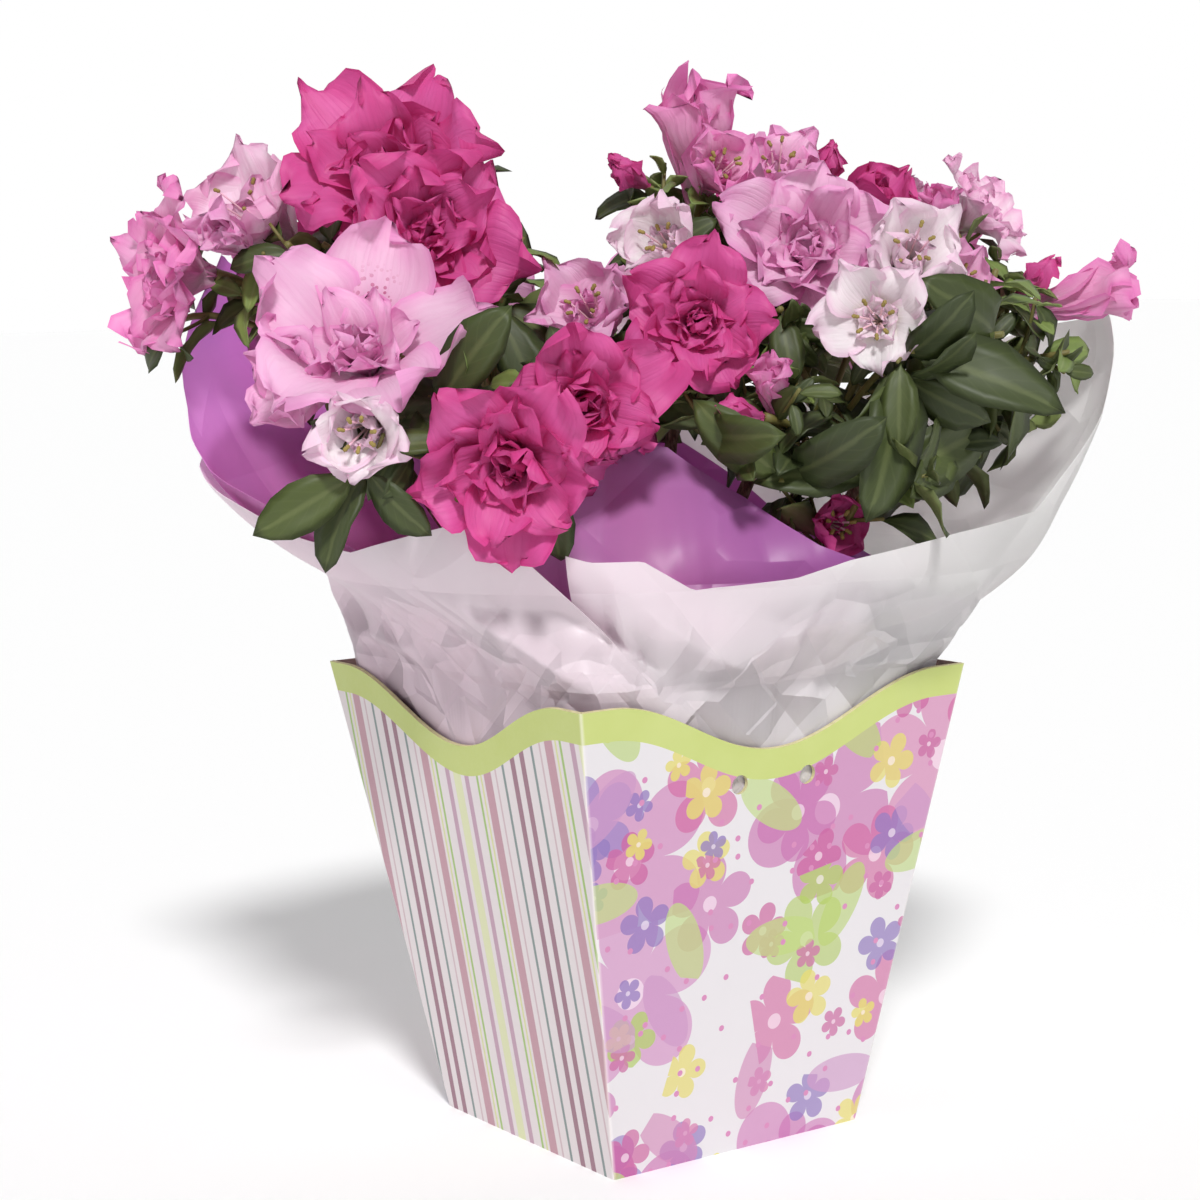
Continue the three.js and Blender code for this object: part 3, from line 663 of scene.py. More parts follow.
def film_reach(turn, height):
    """How far the wrap's outer face stands from the planter's axis."""
    bearing = FRONT_BEARING + radians(turn)
    opened = held((height - PLANTER_HEIGHT + CORNER_RISE[0]) / CORNER_RISE[1])
    opened *= max(0, cos(radians(turn - NEAR_CORNER))) ** 2
    power = FILM_CORNER_POWER + (FILM_OPEN_POWER - FILM_CORNER_POWER) * opened
    cornered = (abs(cos(bearing)) ** power + abs(sin(bearing)) ** power) ** (-1 / power)
    inside = planter_half(min(height, FILM_GATHER_HEIGHT)) - CARD - 2 * CLEARANCE
    edge_height = smooth_edge_value(turn, FORM_HEIGHT) * MM
    rise = held((height - FILM_GATHER_HEIGHT) / (edge_height - FILM_GATHER_HEIGHT))
    belly = smooth_edge_value(turn, FORM_BELLY) * rise * (1 - rise) * (rise - BELLY_START)
    flare = 1 - (1 - rise) ** 2 + belly
    return inside * cornered + (smooth_edge_value(turn, FORM_REACH) * MM - inside * cornered) * flare


def planes(turn, height, cell, seed):
    """Relief of creased film, from 0 to 1: flat three-sided planes between scattered points."""
    down = height / cell[1]
    aside = turn / cell[0] + down
    column, row = floor(aside), floor(down)
    right, low = aside - column, down - row

    def point(c, r):
        return chance((column + c) % round(360 / cell[0]) * 7.31 + (row + r) * 13.17 + seed)

    if right > low:
        return point(0, 0) + right * (point(1, 0) - point(0, 0)) + low * (point(1, 1) - point(1, 0))
    return point(0, 0) + low * (point(0, 1) - point(0, 0)) + right * (point(1, 1) - point(0, 1))


def drift(around, height, spread, rise, start=0):
    """Smooth noise over a round form, by the way round it and the height."""
    return noise.noise(around * spread + Vector((start, 0, height * rise)))


def film_relief(turn, height):
    """How far pleats and creases press the film inward of its form."""
    around = Vector((cos(radians(turn)), sin(radians(turn)), 0))
    turn += WARP * drift(around, height, 1.9, 13)
    warped = height + WARP * MM * drift(around, height, 2.3, 15, 3)
    above = held((height - FILM_GATHER_HEIGHT) / PLANES_RISE)
    gathered = exp(-((height - PLEAT_HEIGHT) / PLEAT_REACH) ** 2)
    pleats = min(1, 5 * drift(around, height, 7, 10) ** 2)
    relief = (planes(turn, warped, PLANE_CELL, 1) - 0.5) * PLANE_DEPTH * above
    crumple = planes(turn, warped, CRUMPLE_CELL, 5) - 0.4
    if crumple < 0:
        crumple *= min(1, above * 3)
    return relief + gathered * (PLEAT_DEPTH * pleats + CRUMPLE_DEPTH * crumple)


def flap_end(height):
    """The turn at which the frosted sheet's left end stops: its side edge leans away from the seam."""
    return FLAP_FOOT - FLAP_LEAN * held((height - FILM_GATHER_HEIGHT) / FLAP_HEIGHT)


def film_sheet(name, inset, edge, folded, seamed, material):
    """A sheet of the wrap, up to its own edge. It may fold in at the near corner, or lap there."""
    bm = bmesh.new()
    bmesh.ops.create_grid(bm, x_segments=FILM_COLUMNS, y_segments=FILM_ROWS, size=1)
    low = FILM_GATHER_HEIGHT
    for vert in bm.verts:
        share = (vert.co.x + 1) / 2
        row = (vert.co.y + 1) / 2 * FILM_ROWS
        up = (row - FILM_LOW_ROWS) / (FILM_ROWS - FILM_LOW_ROWS)
        turn = 360 * share - 180
        height = low
        for _ in range(4):
            if seamed:
                turn = SEAM_START + (360 + flap_end(height) - SEAM_START) * share
            top = edge_value(turn, edge) * MM
            tucked = POT_FLOOR + (low - POT_FLOOR) * row / FILM_LOW_ROWS
            height = tucked if up < 0 else low + (top - low) * up
        reach = film_reach(turn, height) - inset - film_relief(turn, height)
        if folded:
            fold = edge_value(turn, FOLD) * MM * max(0, up) ** 1.5
            creased = FOLD_PLANE_DEPTH * planes(turn, height, FOLD_PLANE_CELL, 9) * max(0, up)
            reach -= fold + creased * edge_value(turn, FOLD) / FOLD_MOST
        if seamed:
            to_end = 360 + flap_end(height) - turn
            above = held((height - low) / SEAM_RISE)
            reach -= SEAM_TUCK * max(0, 1 - (turn - SEAM_START) / SEAM_REACH)
            reach += FLAP_LIFT * above * max(0, 1 - to_end / SEAM_REACH) ** 1.5
        vert.co = heading(turn, 0) * reach + UP * height
    bmesh.ops.remove_doubles(bm, verts=bm.verts, dist=WELD)
    bmesh.ops.recalc_face_normals(bm, faces=bm.faces)
    if sum(face.normal.dot(face.calc_center_median() * Vector((1, 1, 0))) for face in bm.faces) < 0:
        bmesh.ops.reverse_faces(bm, faces=bm.faces)
    piece = mesh_object(name, bm, [material])
    skin = piece.modifiers.new("skin", "SOLIDIFY")
    skin.thickness = FILM_SKIN
    skin.offset = -1
    settle(piece)
    shade_smooth(piece, 50)
    return piece


def let_through(material, colour, share):
    """Lets a share of the light on a thin piece's far side come through it in a colour."""
    nodes = material.node_tree.nodes
    surface = Reading(nodes["Principled BSDF"].outputs[0])
    through = reading("ShaderNodeBsdfTranslucent", {"Color": colour})
    both = reading("ShaderNodeMixShader", {0: share, 1: surface, 2: through})
    feed(nodes["Material Output"], {"Surface": both})


def film_material(name, low_tint_and_painted_light, high_colour, far_tint_and_painted_shade, through_shares, roughness):
    """Cloudy film: much of the light that falls on its far side comes through.
    Its tint fades with height from a low tint to a high one, and toward the right into a far tint.
    The frosted sheet's pink low tint is painted violet light showing through from the inner sheet.
    The violet sheet's darker far tint is painted shade on its right side.
    """
    material = new_material(name)
    spot = place_on(material)
    height = parts_of(spot)[2]
    cloud_scale, cloud_depth = FILM_CLOUDS
    clouds = (noise_of(spot, cloud_scale) - 0.5) * cloud_depth
    up = between(height, *FILM_FADE_UP) + clouds
    right = between(along_axis(spot, tuple(RIGHT)), *FILM_FADE_RIGHT) + clouds
    # On the frosted sheet the low tint is painted light: its pink is the violet sheet's light showing
    # through.
    colour = mix_colour(between(up, 0.0, 1.0), low_tint_and_painted_light, high_colour)
    # The far tint is painted shade on the violet sheet: it darkens that sheet's right side.
    colour = mix_colour(between(right, 0.0, 1.0), colour, far_tint_and_painted_shade)
    gathered = between(height, PLEAT_HEIGHT + PLEAT_REACH, PLEAT_HEIGHT - PLEAT_REACH / 2)
    leaning = reading("ShaderNodeMapping", {"Vector": spot, "Rotation": CREASE_LEAN})
    broad, fine = (reading("ShaderNodeTexVoronoi", {"Vector": leaning, "Scale": scale}, "Distance",
                           distance="MANHATTAN") for scale in CREASE_SCALES)
    creases = broad * (gathered * 0.6 + 0.4) + fine * (gathered * 0.4)
    finish(material, colour, roughness, bump(creases, *CREASE_BUMP))
    let_through(material, colour, between(right, 0.0, 1.0, *through_shares))
    return material


# The frosted sheet's pink low tint, F8E6F0, is painted violet light showing through from the inner sheet.
frosted_white = film_material("film_frosted_white", "F8E6F0", "FAF7FA", "FBFAF9", (0.34, 0.46), 0.4)
# The violet sheet's far tint, CC78CC, is painted shade on its right side.
violet = film_material("film_violet", "F4A8DE", "F8C6FA", "CC78CC", (0.66, 0.54), 0.36)
frosted_sheet = film_sheet("wrap_frosted", 0, FROSTED_EDGE, False, True, frosted_white)
violet_sheet = film_sheet("wrap_violet", FILM + FILM_GAP, VIOLET_EDGE, True, False, violet)
stand_for(frosted_sheet, "film_frosted", "frosted_film")
stand_for(violet_sheet, "film_violet", "violet_film")

# Trunk and boughs: a short crooked trunk, forking low into thirteen boughs that end in the sprays.
# The bark is grey-brown, and its fissures are in the mesh.
Bloom = namedtuple("Bloom", "kind across toward up width turn rise leaves tint")
SPRAYS = (
    # name, height of the fork, the bough's end; blooms, as above; and leafy shoots, each with its
    # place across, toward and up, its turn and rise, leaves and leaf length; in mm and degrees
    ("left_top", 122, (-36, 10, 196), (
        ("double", -67, 28, 271, 53, -14, 32, 5, "deep"), ("double", -52, 46, 250, 46, 18, 6, 5, "deep"),
    ), (
        (-35, 40, 232, 30, 0, 5, 30), (-84, 10, 248, -60, 30, 4, 26), (-38, -4, 226, -160, 60, 7, 30),
        (-18, 8, 214, 150, 62, 7, 28),
    )),
    ("left_front", 106, (-40, 38, 172), (
        ("semi", -69, 76, 225, 49, -5, 40, 5, "light"), ("cup", -86, 70, 214, 34, -45, -5, 5, "light"),
        ("cup", -68, 96, 201, 28, -8, -8, 4, "white"),
    ), ((-69, 92, 190, -20, -40, 6, 29), (-50, 80, 205, 20, -10, 5, 32))),
    ("left_side", 114, (-66, 2, 190), (
        ("cup", -106, 4, 260, 41, -40, 38, 4, "pale"), ("half", -109, 22, 251, 18, -30, 20, 3, "light"),
        ("double", -131, 8, 242, 44, -60, 6, 4, "mid"),
    ), ((-127, -6, 228, -95, -20, 7, 28), (-92, 24, 248, -10, 10, 4, 24))),
    ("front_low", 114, (-16, 44, 172), (
        ("double", -33, 98, 190, 42, -8, -18, 5, "deep"), ("double", -12, 80, 205, 38, 15, 0, 5, "deep"),
    ), ((-45, 92, 184, -12, -50, 5, 26), (-22, 90, 190, 15, -50, 5, 26))),
    ("centre", 136, (2, 24, 182), (
        ("cup", -13, 40, 230, 30, -20, 30, 4, "light"), ("double", 16, 60, 226, 36, 0, 5, 4, "deep"),
        ("cup", 7, 34, 247, 27, -22, 20, 4, "white"),
    ), ((-26, 40, 212, -30, 10, 5, 28), (28, 34, 208, 10, -10, 7, 30))),
    ("right_peak", 146, (12, -4, 205), (
        ("half", 19, -8, 279, 32, 0, 76, 5, "mid"), ("bud", 0, 0, 265, 13, -50, 30, 3, "deep"),
        ("cup", 25, 8, 267, 24, 20, 30, 4, "mid"),
    ), ((6, 14, 243, -40, 10, 5, 20),)),
    ("right_top", 130, (38, -4, 196), (
        ("cup", 42, -18, 269, 27, 0, 50, 3, "light"), ("half", 66, 0, 257, 26, 35, 45, 4, "deep"),
        ("bud", 56, -22, 266, 12, 20, 60, 3, "deep"), ("double", 46, 24, 246, 42, -5, 20, 5, "light"),
    ), ((38, 40, 228, 10, 10, 3, 24),)),
    ("right_front", 124, (42, 28, 178), (
        ("cup", 72, 46, 243, 31, 5, 25, 4, "white"), ("open", 61, 56, 225, 27, -15, 5, 4, "white"),
        ("half", 34, 60, 210, 15, -10, 55, 3, "mid"), ("bud", 26, 62, 202, 12, -60, 10, 3, "deep"),
        ("cup", 90, 13, 235, 22, 34, 18, 3, "light"),
    ), (
        (70, 62, 217, 5, -14, 8, 43), (97, 34, 220, 42, 0, 7, 34), (16, 58, 198, -30, 10, 5, 34),
        (36, 62, 184, -10, -20, 6, 33),
    )),
    ("right_side", 114, (70, -10, 190), (
        ("half", 84, -6, 254, 17, 10, 55, 3, "mid"), ("double", 103, -30, 256, 30, 60, 40, 4, "pale"),
        ("half", 132, -12, 230, 27, 82, 14, 3, "mid"), ("bud", 113, -12, 234, 12, 70, 40, 3, "deep"),
    ), ((101, -5, 237, 20, 68, 5, 24), (119, 8, 214, 60, 10, 7, 18), (104, 10, 200, 75, -10, 6, 26))),
    ("right_low", 106, (44, 36, 152), (
        ("cup", 52, 48, 172, 20, 20, 0, 3, "deep"),
    ), ((84, 40, 190, 25, -6, 7, 28), (62, 58, 184, 10, -18, 6, 36))),
    ("back_left", 106, (-50, -38, 186), (
        ("double", -78, -32, 258, 48, -140, 35, 5, "deep"),
        ("open", -56, -62, 238, 50, 178, 12, 5, "light"),
        ("double", -102, -42, 234, 42, -120, 8, 5, "mid"), ("cup", -72, -72, 218, 32, -150, 10, 4, "mid"),
    ), ((-84, -50, 212, -135, 0, 6, 30), (-40, -26, 224, 60, 58, 7, 30))),
    ("back_mid", 114, (-4, -48, 178), (
        ("double", -28, -88, 212, 44, 178, 0, 5, "mid"), ("open", 12, -82, 224, 46, 172, 22, 5, "pale"),
    ), (
        (-6, -82, 198, 180, -5, 6, 30), (-30, -56, 226, -160, 50, 5, 26), (-14, -22, 214, -20, 64, 7, 30),
        (6, -40, 218, 20, 60, 6, 28),
    )),
    ("back_right", 106, (52, -44, 184), (
        ("double", 44, -64, 248, 44, 160, 42, 5, "deep"), ("cup", 64, -94, 222, 40, 150, 4, 5, "light"),
        ("double", 94, -66, 238, 42, 125, 18, 5, "mid"), ("cup", 76, -44, 256, 28, 150, 60, 4, "pale"),
    ), ((110, -56, 214, 110, -8, 7, 28), (40, -98, 200, 165, -25, 6, 28))),
)
TRUNK_TOP = 150 * MM
TRUNK_RADIUS = 5.6 * MM
TRUNK_SUNK = 1.5 * MM
TRUNK_BENDS = np.array(((0, 0, 0), (1.5, 1, 18), (-1.5, 0.5, 38), (1, -1, 57)))
TRUNK_SIDES = 28
TRUNK_STEPS = 64
TRUNK_TAPER = 0.5
ROOT_FLARE = (0.75, 14)
BOUGH_ROOT = 2.3 * MM
BOUGH_TIP = 1.5 * MM
BOUGH_SIDES = 14
BOUGH_STEPS = 40
BOUGH_SAG = (0.55, 0.3)
BARK_DEPTH = 0.2
FISSURES = (2.6, 0.16)
KNOTS = (0.9, 0.3)
BARK_BROWNS = ((0.32, "3B2A1F"), (0.5, "6F5542"), (0.72, "A08C76"))
TILES = 4
NEARLY_UPRIGHT = 0.95


def unit(vector):
    return vector / np.linalg.norm(vector)


def square_to(axis, angle=0.0):
    """A direction square to an axis, at an angle round it from the level one."""
    side = unit(np.cross(RIGHT if abs(axis[2]) > NEARLY_UPRIGHT else UP, axis))
    return side * cos(angle) + np.cross(axis, side) * sin(angle)


def bezier(handles, steps):
    """Points at even steps along the curve that its handles draw."""
    share = np.linspace(0, 1, 60)[:, None]
    levels = [np.asarray(handle)[None] for handle in handles]
    while len(levels) > 1:
        levels = [a * (1 - share) + b * share for a, b in zip(levels, levels[1:])]
    way = np.concatenate(([0], np.cumsum(np.linalg.norm(np.diff(levels[0], axis=0), axis=1))))
    at = np.linspace(0, way[-1], steps + 1)
    return np.stack([np.interp(at, way, levels[0][:, k]) for k in range(3)], axis=1)


def grid_faces(rows, columns, closed):
    """The faces of a grid of corners, row by row, and each face corner's share across and along it."""
    across = columns if closed else columns - 1
    row, column = np.divmod(np.arange((rows - 1) * across), across)
    steps = ((0, 0), (0, 1), (1, 1), (1, 0))
    faces = np.stack([(row + r) * columns + (column + c) % columns for r, c in steps], axis=1)
    shares = np.stack([np.stack([(column + c) / across, (row + r) / (rows - 1)], axis=1)
                       for r, c in steps], axis=1)
    return faces, shares


def tube(points, radii, sides):
    """A limb along a line of points, closed at its ends. Radii are one to a ring or one to a corner."""
    tangents = np.gradient(points, axis=0)
    angles = 2 * pi * np.arange(sides) / sides
    side = square_to(unit(tangents[0]))
    rings = [points[:1].repeat(sides, 0)]
    for point, tangent, radius in zip(points, tangents, radii):
        tangent = unit(tangent)
        side = unit(side - tangent * side.dot(tangent))
        spokes = np.outer(np.cos(angles), side) + np.outer(np.sin(angles), np.cross(tangent, side))
        rings.append(point + spokes * np.reshape(radius, (-1, 1)))
    rings.append(points[-1:].repeat(sides, 0))
    return np.concatenate(rings), *grid_faces(len(rings), sides, True)


def joined_mesh(name, parts, material):
    """One piece from many small parts: their corners, faces and places on the pattern."""
    firsts = np.cumsum([0] + [len(corners) for corners, _, _ in parts])
    faces = np.concatenate([part[1] + first for part, first in zip(parts, firsts)])
    mesh = bpy.data.meshes.new(name)
    mesh.from_pydata(np.concatenate([part[0] for part in parts]).tolist(), [], faces.tolist())
    pattern = mesh.uv_layers.new(name="OFBake")
    pattern.data.foreach_set("uv", np.concatenate([part[2] for part in parts]).ravel())
    bm = bmesh.new()
    bm.from_mesh(mesh)
    bmesh.ops.remove_doubles(bm, verts=bm.verts, dist=FINE_WELD)
    bm.to_mesh(mesh)
    bm.free()
    mesh.materials.append(material)
    mesh.shade_smooth()
    piece = bpy.data.objects.new(name, mesh)
    scene.collection.objects.link(piece)
    return piece


def trunk_point(height):
    up = (height - PEAT_TOP) / MM
    across, toward = (np.polyval(np.polyfit(TRUNK_BENDS[:, 2], TRUNK_BENDS[:, k], 3), up) for k in (0, 1))
    return place(across, toward, height / MM)


def bark_radii(radii, sides, seed):
    """Radii round each ring of a limb, with long fissures and low knots."""
    rows = []
    for ring, radius in enumerate(radii):
        angles = [2 * pi * s / sides for s in range(sides)]
        rims = [Vector((cos(a), sin(a), 0)) for a in angles]
        fissures = [drift(rim, ring, FISSURES[0], FISSURES[1], seed) for rim in rims]
        knots = [noise.noise(rim * KNOTS[0] + Vector((0, seed, ring * KNOTS[1]))) for rim in rims]
        rows.append([radius * (1 + BARK_DEPTH * (f + 0.5 * k)) for f, k in zip(fissures, knots)])
    return rows


def bough_points(fork, foot, steps):
    start = trunk_point(fork * MM)
    end = place(*foot)
    along, up = BOUGH_SAG
    bend = start + (end - start) * along
    bend[2] = start[2] + (end[2] - start[2]) * up
    return bezier((start, bend, end), steps)


def limb(points, radii, sides, seed):
    return tube(points, bark_radii(radii, sides, seed), sides)


trunk_heights = np.linspace(PEAT_TOP - TRUNK_SUNK, TRUNK_TOP, TRUNK_STEPS + 1)
trunk_rises = np.linspace(0, 1, TRUNK_STEPS + 1)
flare, flare_fade = ROOT_FLARE
trunk_radii = TRUNK_RADIUS * (1 - TRUNK_TAPER * trunk_rises + flare * np.exp(-flare_fade * trunk_rises))
trunk_points = np.array([trunk_point(height) for height in trunk_heights])
bark_parts = [limb(trunk_points, trunk_radii, TRUNK_SIDES, 0)]
bough_radii = np.linspace(BOUGH_ROOT, BOUGH_TIP, BOUGH_STEPS + 1)
for index, (_, fork, foot, _, _) in enumerate(SPRAYS):
    points = bough_points(fork, foot, BOUGH_STEPS)
    bark_parts.append(limb(points, bough_radii, BOUGH_SIDES, 7 * index + 3))
bark = coarse_material("bark", (1, 1, 0.3), (900.0, 5.0, 0.65), BARK_BROWNS, 0.85, 0.8, 0.5 * MM)
spray_names = [spray[0] for spray in SPRAYS]
stand_for(joined_mesh("trunk_and_boughs", bark_parts, bark), "bark",
          "trunk", *(f"bough_{name}" for name in spray_names))

# Twigs: each bough's end breaks into green twigs, one to each bloom and leafy shoot, and these
# carry short side twigs. Young wood is olive green and smooth.
STEM_LENGTH = 9 * MM
STEM_TIP = 1.3 * MM
TWIG_RADIUS = 1.2 * MM
TWIG_END = 0.9 * MM
TWIG_HANDLE = 0.3
TWIG_STEPS = 14
TWIG_SIDES = 8
SIDE_TWIG_RADIUS = 0.65 * MM
SIDE_TWIG_SHARES = (0.86, 0.68, 0.5)
TWIG_START = (0.45, 0.5)
TWIG_WAIST = 0.25 * MM
CALYX_RADIUS = (1.2, 0.022)
BLOOM_LEAF_LENGTH = (15, 0.26)
SIDE_TWIG_LENGTH = (10, 8)
SIDE_TWIG_LEAVES = (3, 2)
SIDE_LEAF_SHARE = 0.62
BLOOM_DEPTH = {"double": 0.42, "semi": 0.36, "open": 0.36, "cup": 0.6, "half": 0.8, "bud": 0.6}


def middle_of(bloom):
    return place(bloom.across, bloom.toward, bloom.up)


def axis_of(bloom):
    return heading(bloom.turn, bloom.rise)


def base_of(bloom):
    return middle_of(bloom) - axis_of(bloom) * BLOOM_DEPTH[bloom.kind] * bloom.width * MM


def drawn(span, seed):
    """A number drawn by its seed from a span, given as the least and how much more it may be."""
    return span[0] + span[1] * chance(seed)


twig_parts = []
twigs = []
for index, (name, fork, foot, blooms, shoots) in enumerate(SPRAYS):
    bough = bough_points(fork, foot, BOUGH_STEPS)
    onward = unit(bough[-1] - bough[-2])
    stem_foot = bough[-1]
    crotch = stem_foot + onward * (STEM_LENGTH + CLEARANCE)
    twig_parts.append(tube(np.linspace(stem_foot, crotch, 5), np.linspace(BOUGH_TIP, STEM_TIP, 5), 10))
    ends = []
    for bloom in (Bloom(*row) for row in blooms):
        calyx_radius = (CALYX_RADIUS[0] + CALYX_RADIUS[1] * bloom.width) * MM
        leaf_length = BLOOM_LEAF_LENGTH[0] + BLOOM_LEAF_LENGTH[1] * bloom.width
        ends.append((base_of(bloom), axis_of(bloom), calyx_radius, bloom.leaves, leaf_length))
    for across, toward, up, turn, rise, leaves, leaf_length in shoots:
        ends.append((place(across, toward, up), heading(turn, rise), TWIG_END, leaves, leaf_length))
    for i, (tip, axis, tip_radius, leaves, leaf_length) in enumerate(ends):
        start = stem_foot + (crotch - stem_foot) * drawn(TWIG_START, index * 17 + i)
        handle = np.linalg.norm(tip - start) * TWIG_HANDLE
        points = bezier((start, start + onward * handle, tip - axis * handle, tip), TWIG_STEPS)
        way = np.linspace(0, 1, TWIG_STEPS + 1)
        radii = TWIG_RADIUS + (tip_radius - TWIG_RADIUS) * way ** 8 - TWIG_WAIST * np.sin(pi * way)
        twig_parts.append(tube(points, radii, TWIG_SIDES))
        seed = index * 41 + i * 7
        twigs.append((points, leaves, leaf_length * MM, seed))
        for k, share in enumerate(SIDE_TWIG_SHARES):
            at = round(share * TWIG_STEPS)
            node = points[at]
            tangent = unit(points[-1] - points[at - 2])
            aside = square_to(tangent, 2 * pi * chance(seed + 0.13 + k))
            length = drawn(SIDE_TWIG_LENGTH, seed + 0.37 + k) * MM
            side_tip = node + (tangent * 0.55 + aside * 0.8 + UP * 0.25) * length
            side_points = bezier((node, node + (tangent * 0.6 + aside * 0.6) * length * 0.5, side_tip), 5)
            twig_parts.append(tube(side_points, np.linspace(1, 0.8, 6) * SIDE_TWIG_RADIUS, 6))
            side_leaves = SIDE_TWIG_LEAVES[0] + round(SIDE_TWIG_LEAVES[1] * chance(seed + 0.51 + k))
            side_leaf_length = leaf_length * SIDE_LEAF_SHARE * MM
            twigs.append((side_points, side_leaves, side_leaf_length, seed + 3000 + 11 * k))

green_wood = mottled_material("green_wood", (70.0, 3.0), ("5F6B35", "86713F"), 0.55,
                              ((1500.0, 3.0), 0.4, 0.2 * MM))
spray_nodes = [f"spray_{name}" for name in spray_names]
stand_for(joined_mesh("twigs", twig_parts, green_wood), "spray", *spray_nodes)

# Leaves: dark, leathery and narrow, in whorls down each twig from its tip, paler underneath, with
# a sunk midrib. Some are younger and lighter.
LEAF_ROWS = (
    # share of the length, share of the width
    (0, 0.05), (0.1, 0.08), (0.2, 0.5), (0.36, 0.88), (0.54, 1), (0.72, 0.86), (0.88, 0.48), (1, 0),
)
LEAF_SHARES = np.array([row[0] for row in LEAF_ROWS])
LEAF_HALVES = np.array([row[1] for row in LEAF_ROWS])[:, None]
LEAF_ACROSS = np.array((1, 0.5, 0, -0.5, -1, -0.5, 0, 0.5))
LEAF_THICK = np.array((0, 0.6, 0.1, 0.6, 0, -0.6, -1.3, -0.6))
LEAF_THICKNESS = 0.3 * MM
LEAF_WIDTH_SHARE = 0.42
LEAF_FOLD = 0.28
LEAF_TWIST = 50
LEAF_RISE = 14
LEAF_ARCH = (30, 34)
LEAF_WAVE = 0.05
LEAF_LEAN = (8, 34)
LEAF_SIZES = (0.8, 0.35)
LEAF_SAMPLES = (0.25, 0.5, 0.75, 1)
GOLDEN_ANGLE = pi * (3 - sqrt(5))
FIRST_LEAF = 2.5 * MM
LEAF_PITCH = 1.9 * MM
LEAF_DROOP = 0.18
FILM_MARGIN = 2.5 * MM
FILM_WAVES = 4
WRAP_TOP = max(max(row[FROSTED_EDGE], row[VIOLET_EDGE]) for row in FILM_EDGE) * MM
FACE_SHARE = 0.5
FACE_BEHIND = 0.15
YOUNG_LENGTH = 22 * MM
YOUNG_RISE = 0.9
YOUNG_TONE = 0.8
MID_TONE = 0.55
LEAF_VEINS = 9.0
VEIN_SLANT = 2.4
LEAF_GREENS = {
    # deep, bright, underside
    "leaves_dark": ("2A3418", "444F24", "7A8352"),
    "leaves_mid": ("313A1C", "4E5A26", "7F8755"),
    "leaves_young": ("586D34", "80914A", "99A66E"),
}
all_blooms = []
for index, spray in enumerate(SPRAYS):
    all_blooms += [(index, i, Bloom(*row)) for i, row in enumerate(spray[3])]
bloom_faces = [(middle_of(bloom), axis_of(bloom), bloom.width * MM) for _, _, bloom in all_blooms
               if bloom.kind != "bud"]


def film_faces(point):
    """How far a point is from the axis, the wrap's inner and outer faces there, and its edge's height."""
    across, toward = point.dot(RIGHT), point.dot(FRONT)
    turn = degrees(atan2(across, toward))
    edge = max(edge_value(turn, FROSTED_EDGE), edge_value(turn, VIOLET_EDGE)) * MM
    outer = film_reach(turn, min(point[2], edge))
    inner = outer - FILM - FILM_GAP - (edge_value(turn, FOLD) + FILM_WAVES) * MM
    return hypot(across, toward), inner - FILM_MARGIN, outer + FILM_MARGIN, edge


def film_side(point):
    """1 outside the wrap, -1 inside it, 0 in its film, and None above its edge."""
    away, inner, outer, edge = film_faces(point)
    if point[2] > edge:
        return None
    return 1 if away > outer else -1 if away < inner else 0


def beside_film(corners, centre):
    """Presses a petal's corners that would pass through the wrap back to its bloom's side of it."""
    away, _, outer, _ = film_faces(centre)
    outside = away > outer
    for corner in corners:
        if corner[2] > WRAP_TOP:
            continue
        away, inner, outer, edge = film_faces(corner)
        if corner[2] > edge:
            continue
        if outside and inner < away < outer:
            corner[:2] *= outer / away
        elif not outside and away > inner:
            corner[:2] *= inner / away
    return corners


def before_a_bloom(point):
    """Whether a leaf's point would lie in a bloom or stand close before its face."""
    for centre, axis, width in bloom_faces:
        ahead = (point - centre).dot(axis)
        aside = np.linalg.norm(point - centre - ahead * axis)
        if -FACE_BEHIND * width < ahead < width and aside < FACE_SHARE * width:
            return True
    return False


def clear_of_film(points):
    sides = {film_side(point) for point in points} - {None}
    return sides <= {1} or sides <= {-1}


def leaf(node, direction, face, reach, seed):
    """A leaf's corners, faces and pattern: a flat closed skin, folded at its midrib and bent back."""
    over = unit(np.cross(np.cross(direction, face), direction))
    side = np.cross(over, direction)
    twist = radians(LEAF_TWIST * (chance(seed + 0.2) - 0.5))
    side, over = side * cos(twist) + over * sin(twist), over * cos(twist) - side * sin(twist)
    bend = np.radians(LEAF_RISE - drawn(LEAF_ARCH, seed + 0.9) * LEAF_SHARES)[:, None]
    ahead = np.cos(bend) * direction + np.sin(bend) * over
    above = np.cos(bend) * over - np.sin(bend) * direction
    steps = np.diff(LEAF_SHARES, prepend=0)[:, None]
    spine = node + np.cumsum(ahead * steps, axis=0) * reach
    half = reach * LEAF_WIDTH_SHARE / 2 * LEAF_HALVES
    wave = LEAF_WAVE * reach * np.sin(LEAF_SHARES * 9 + 6 * chance(seed + 0.4))[:, None] * LEAF_HALVES
    lift = (LEAF_FOLD * half + wave * np.sign(LEAF_ACROSS)) * np.abs(LEAF_ACROSS)
    lift = lift + LEAF_THICK * LEAF_THICKNESS * np.minimum(1, 3 * LEAF_HALVES)
    corners = spine[:, None] + (half * LEAF_ACROSS)[..., None] * side + lift[..., None] * above[:, None]
    corners[0] = node
    faces, shares = grid_faces(len(LEAF_ROWS), len(LEAF_ACROSS), True)
    lower = np.arange(len(faces)) % len(LEAF_ACROSS) >= len(LEAF_ACROSS) // 2
    faces[lower] = np.roll(faces[lower], 1, axis=1)
    shares[lower] = np.roll(shares[lower], 1, axis=1)
    shares[..., 0] = (shares[..., 0] + floor(TILES * chance(seed + 0.7))) / TILES
    return corners.reshape(-1, 3), faces, shares


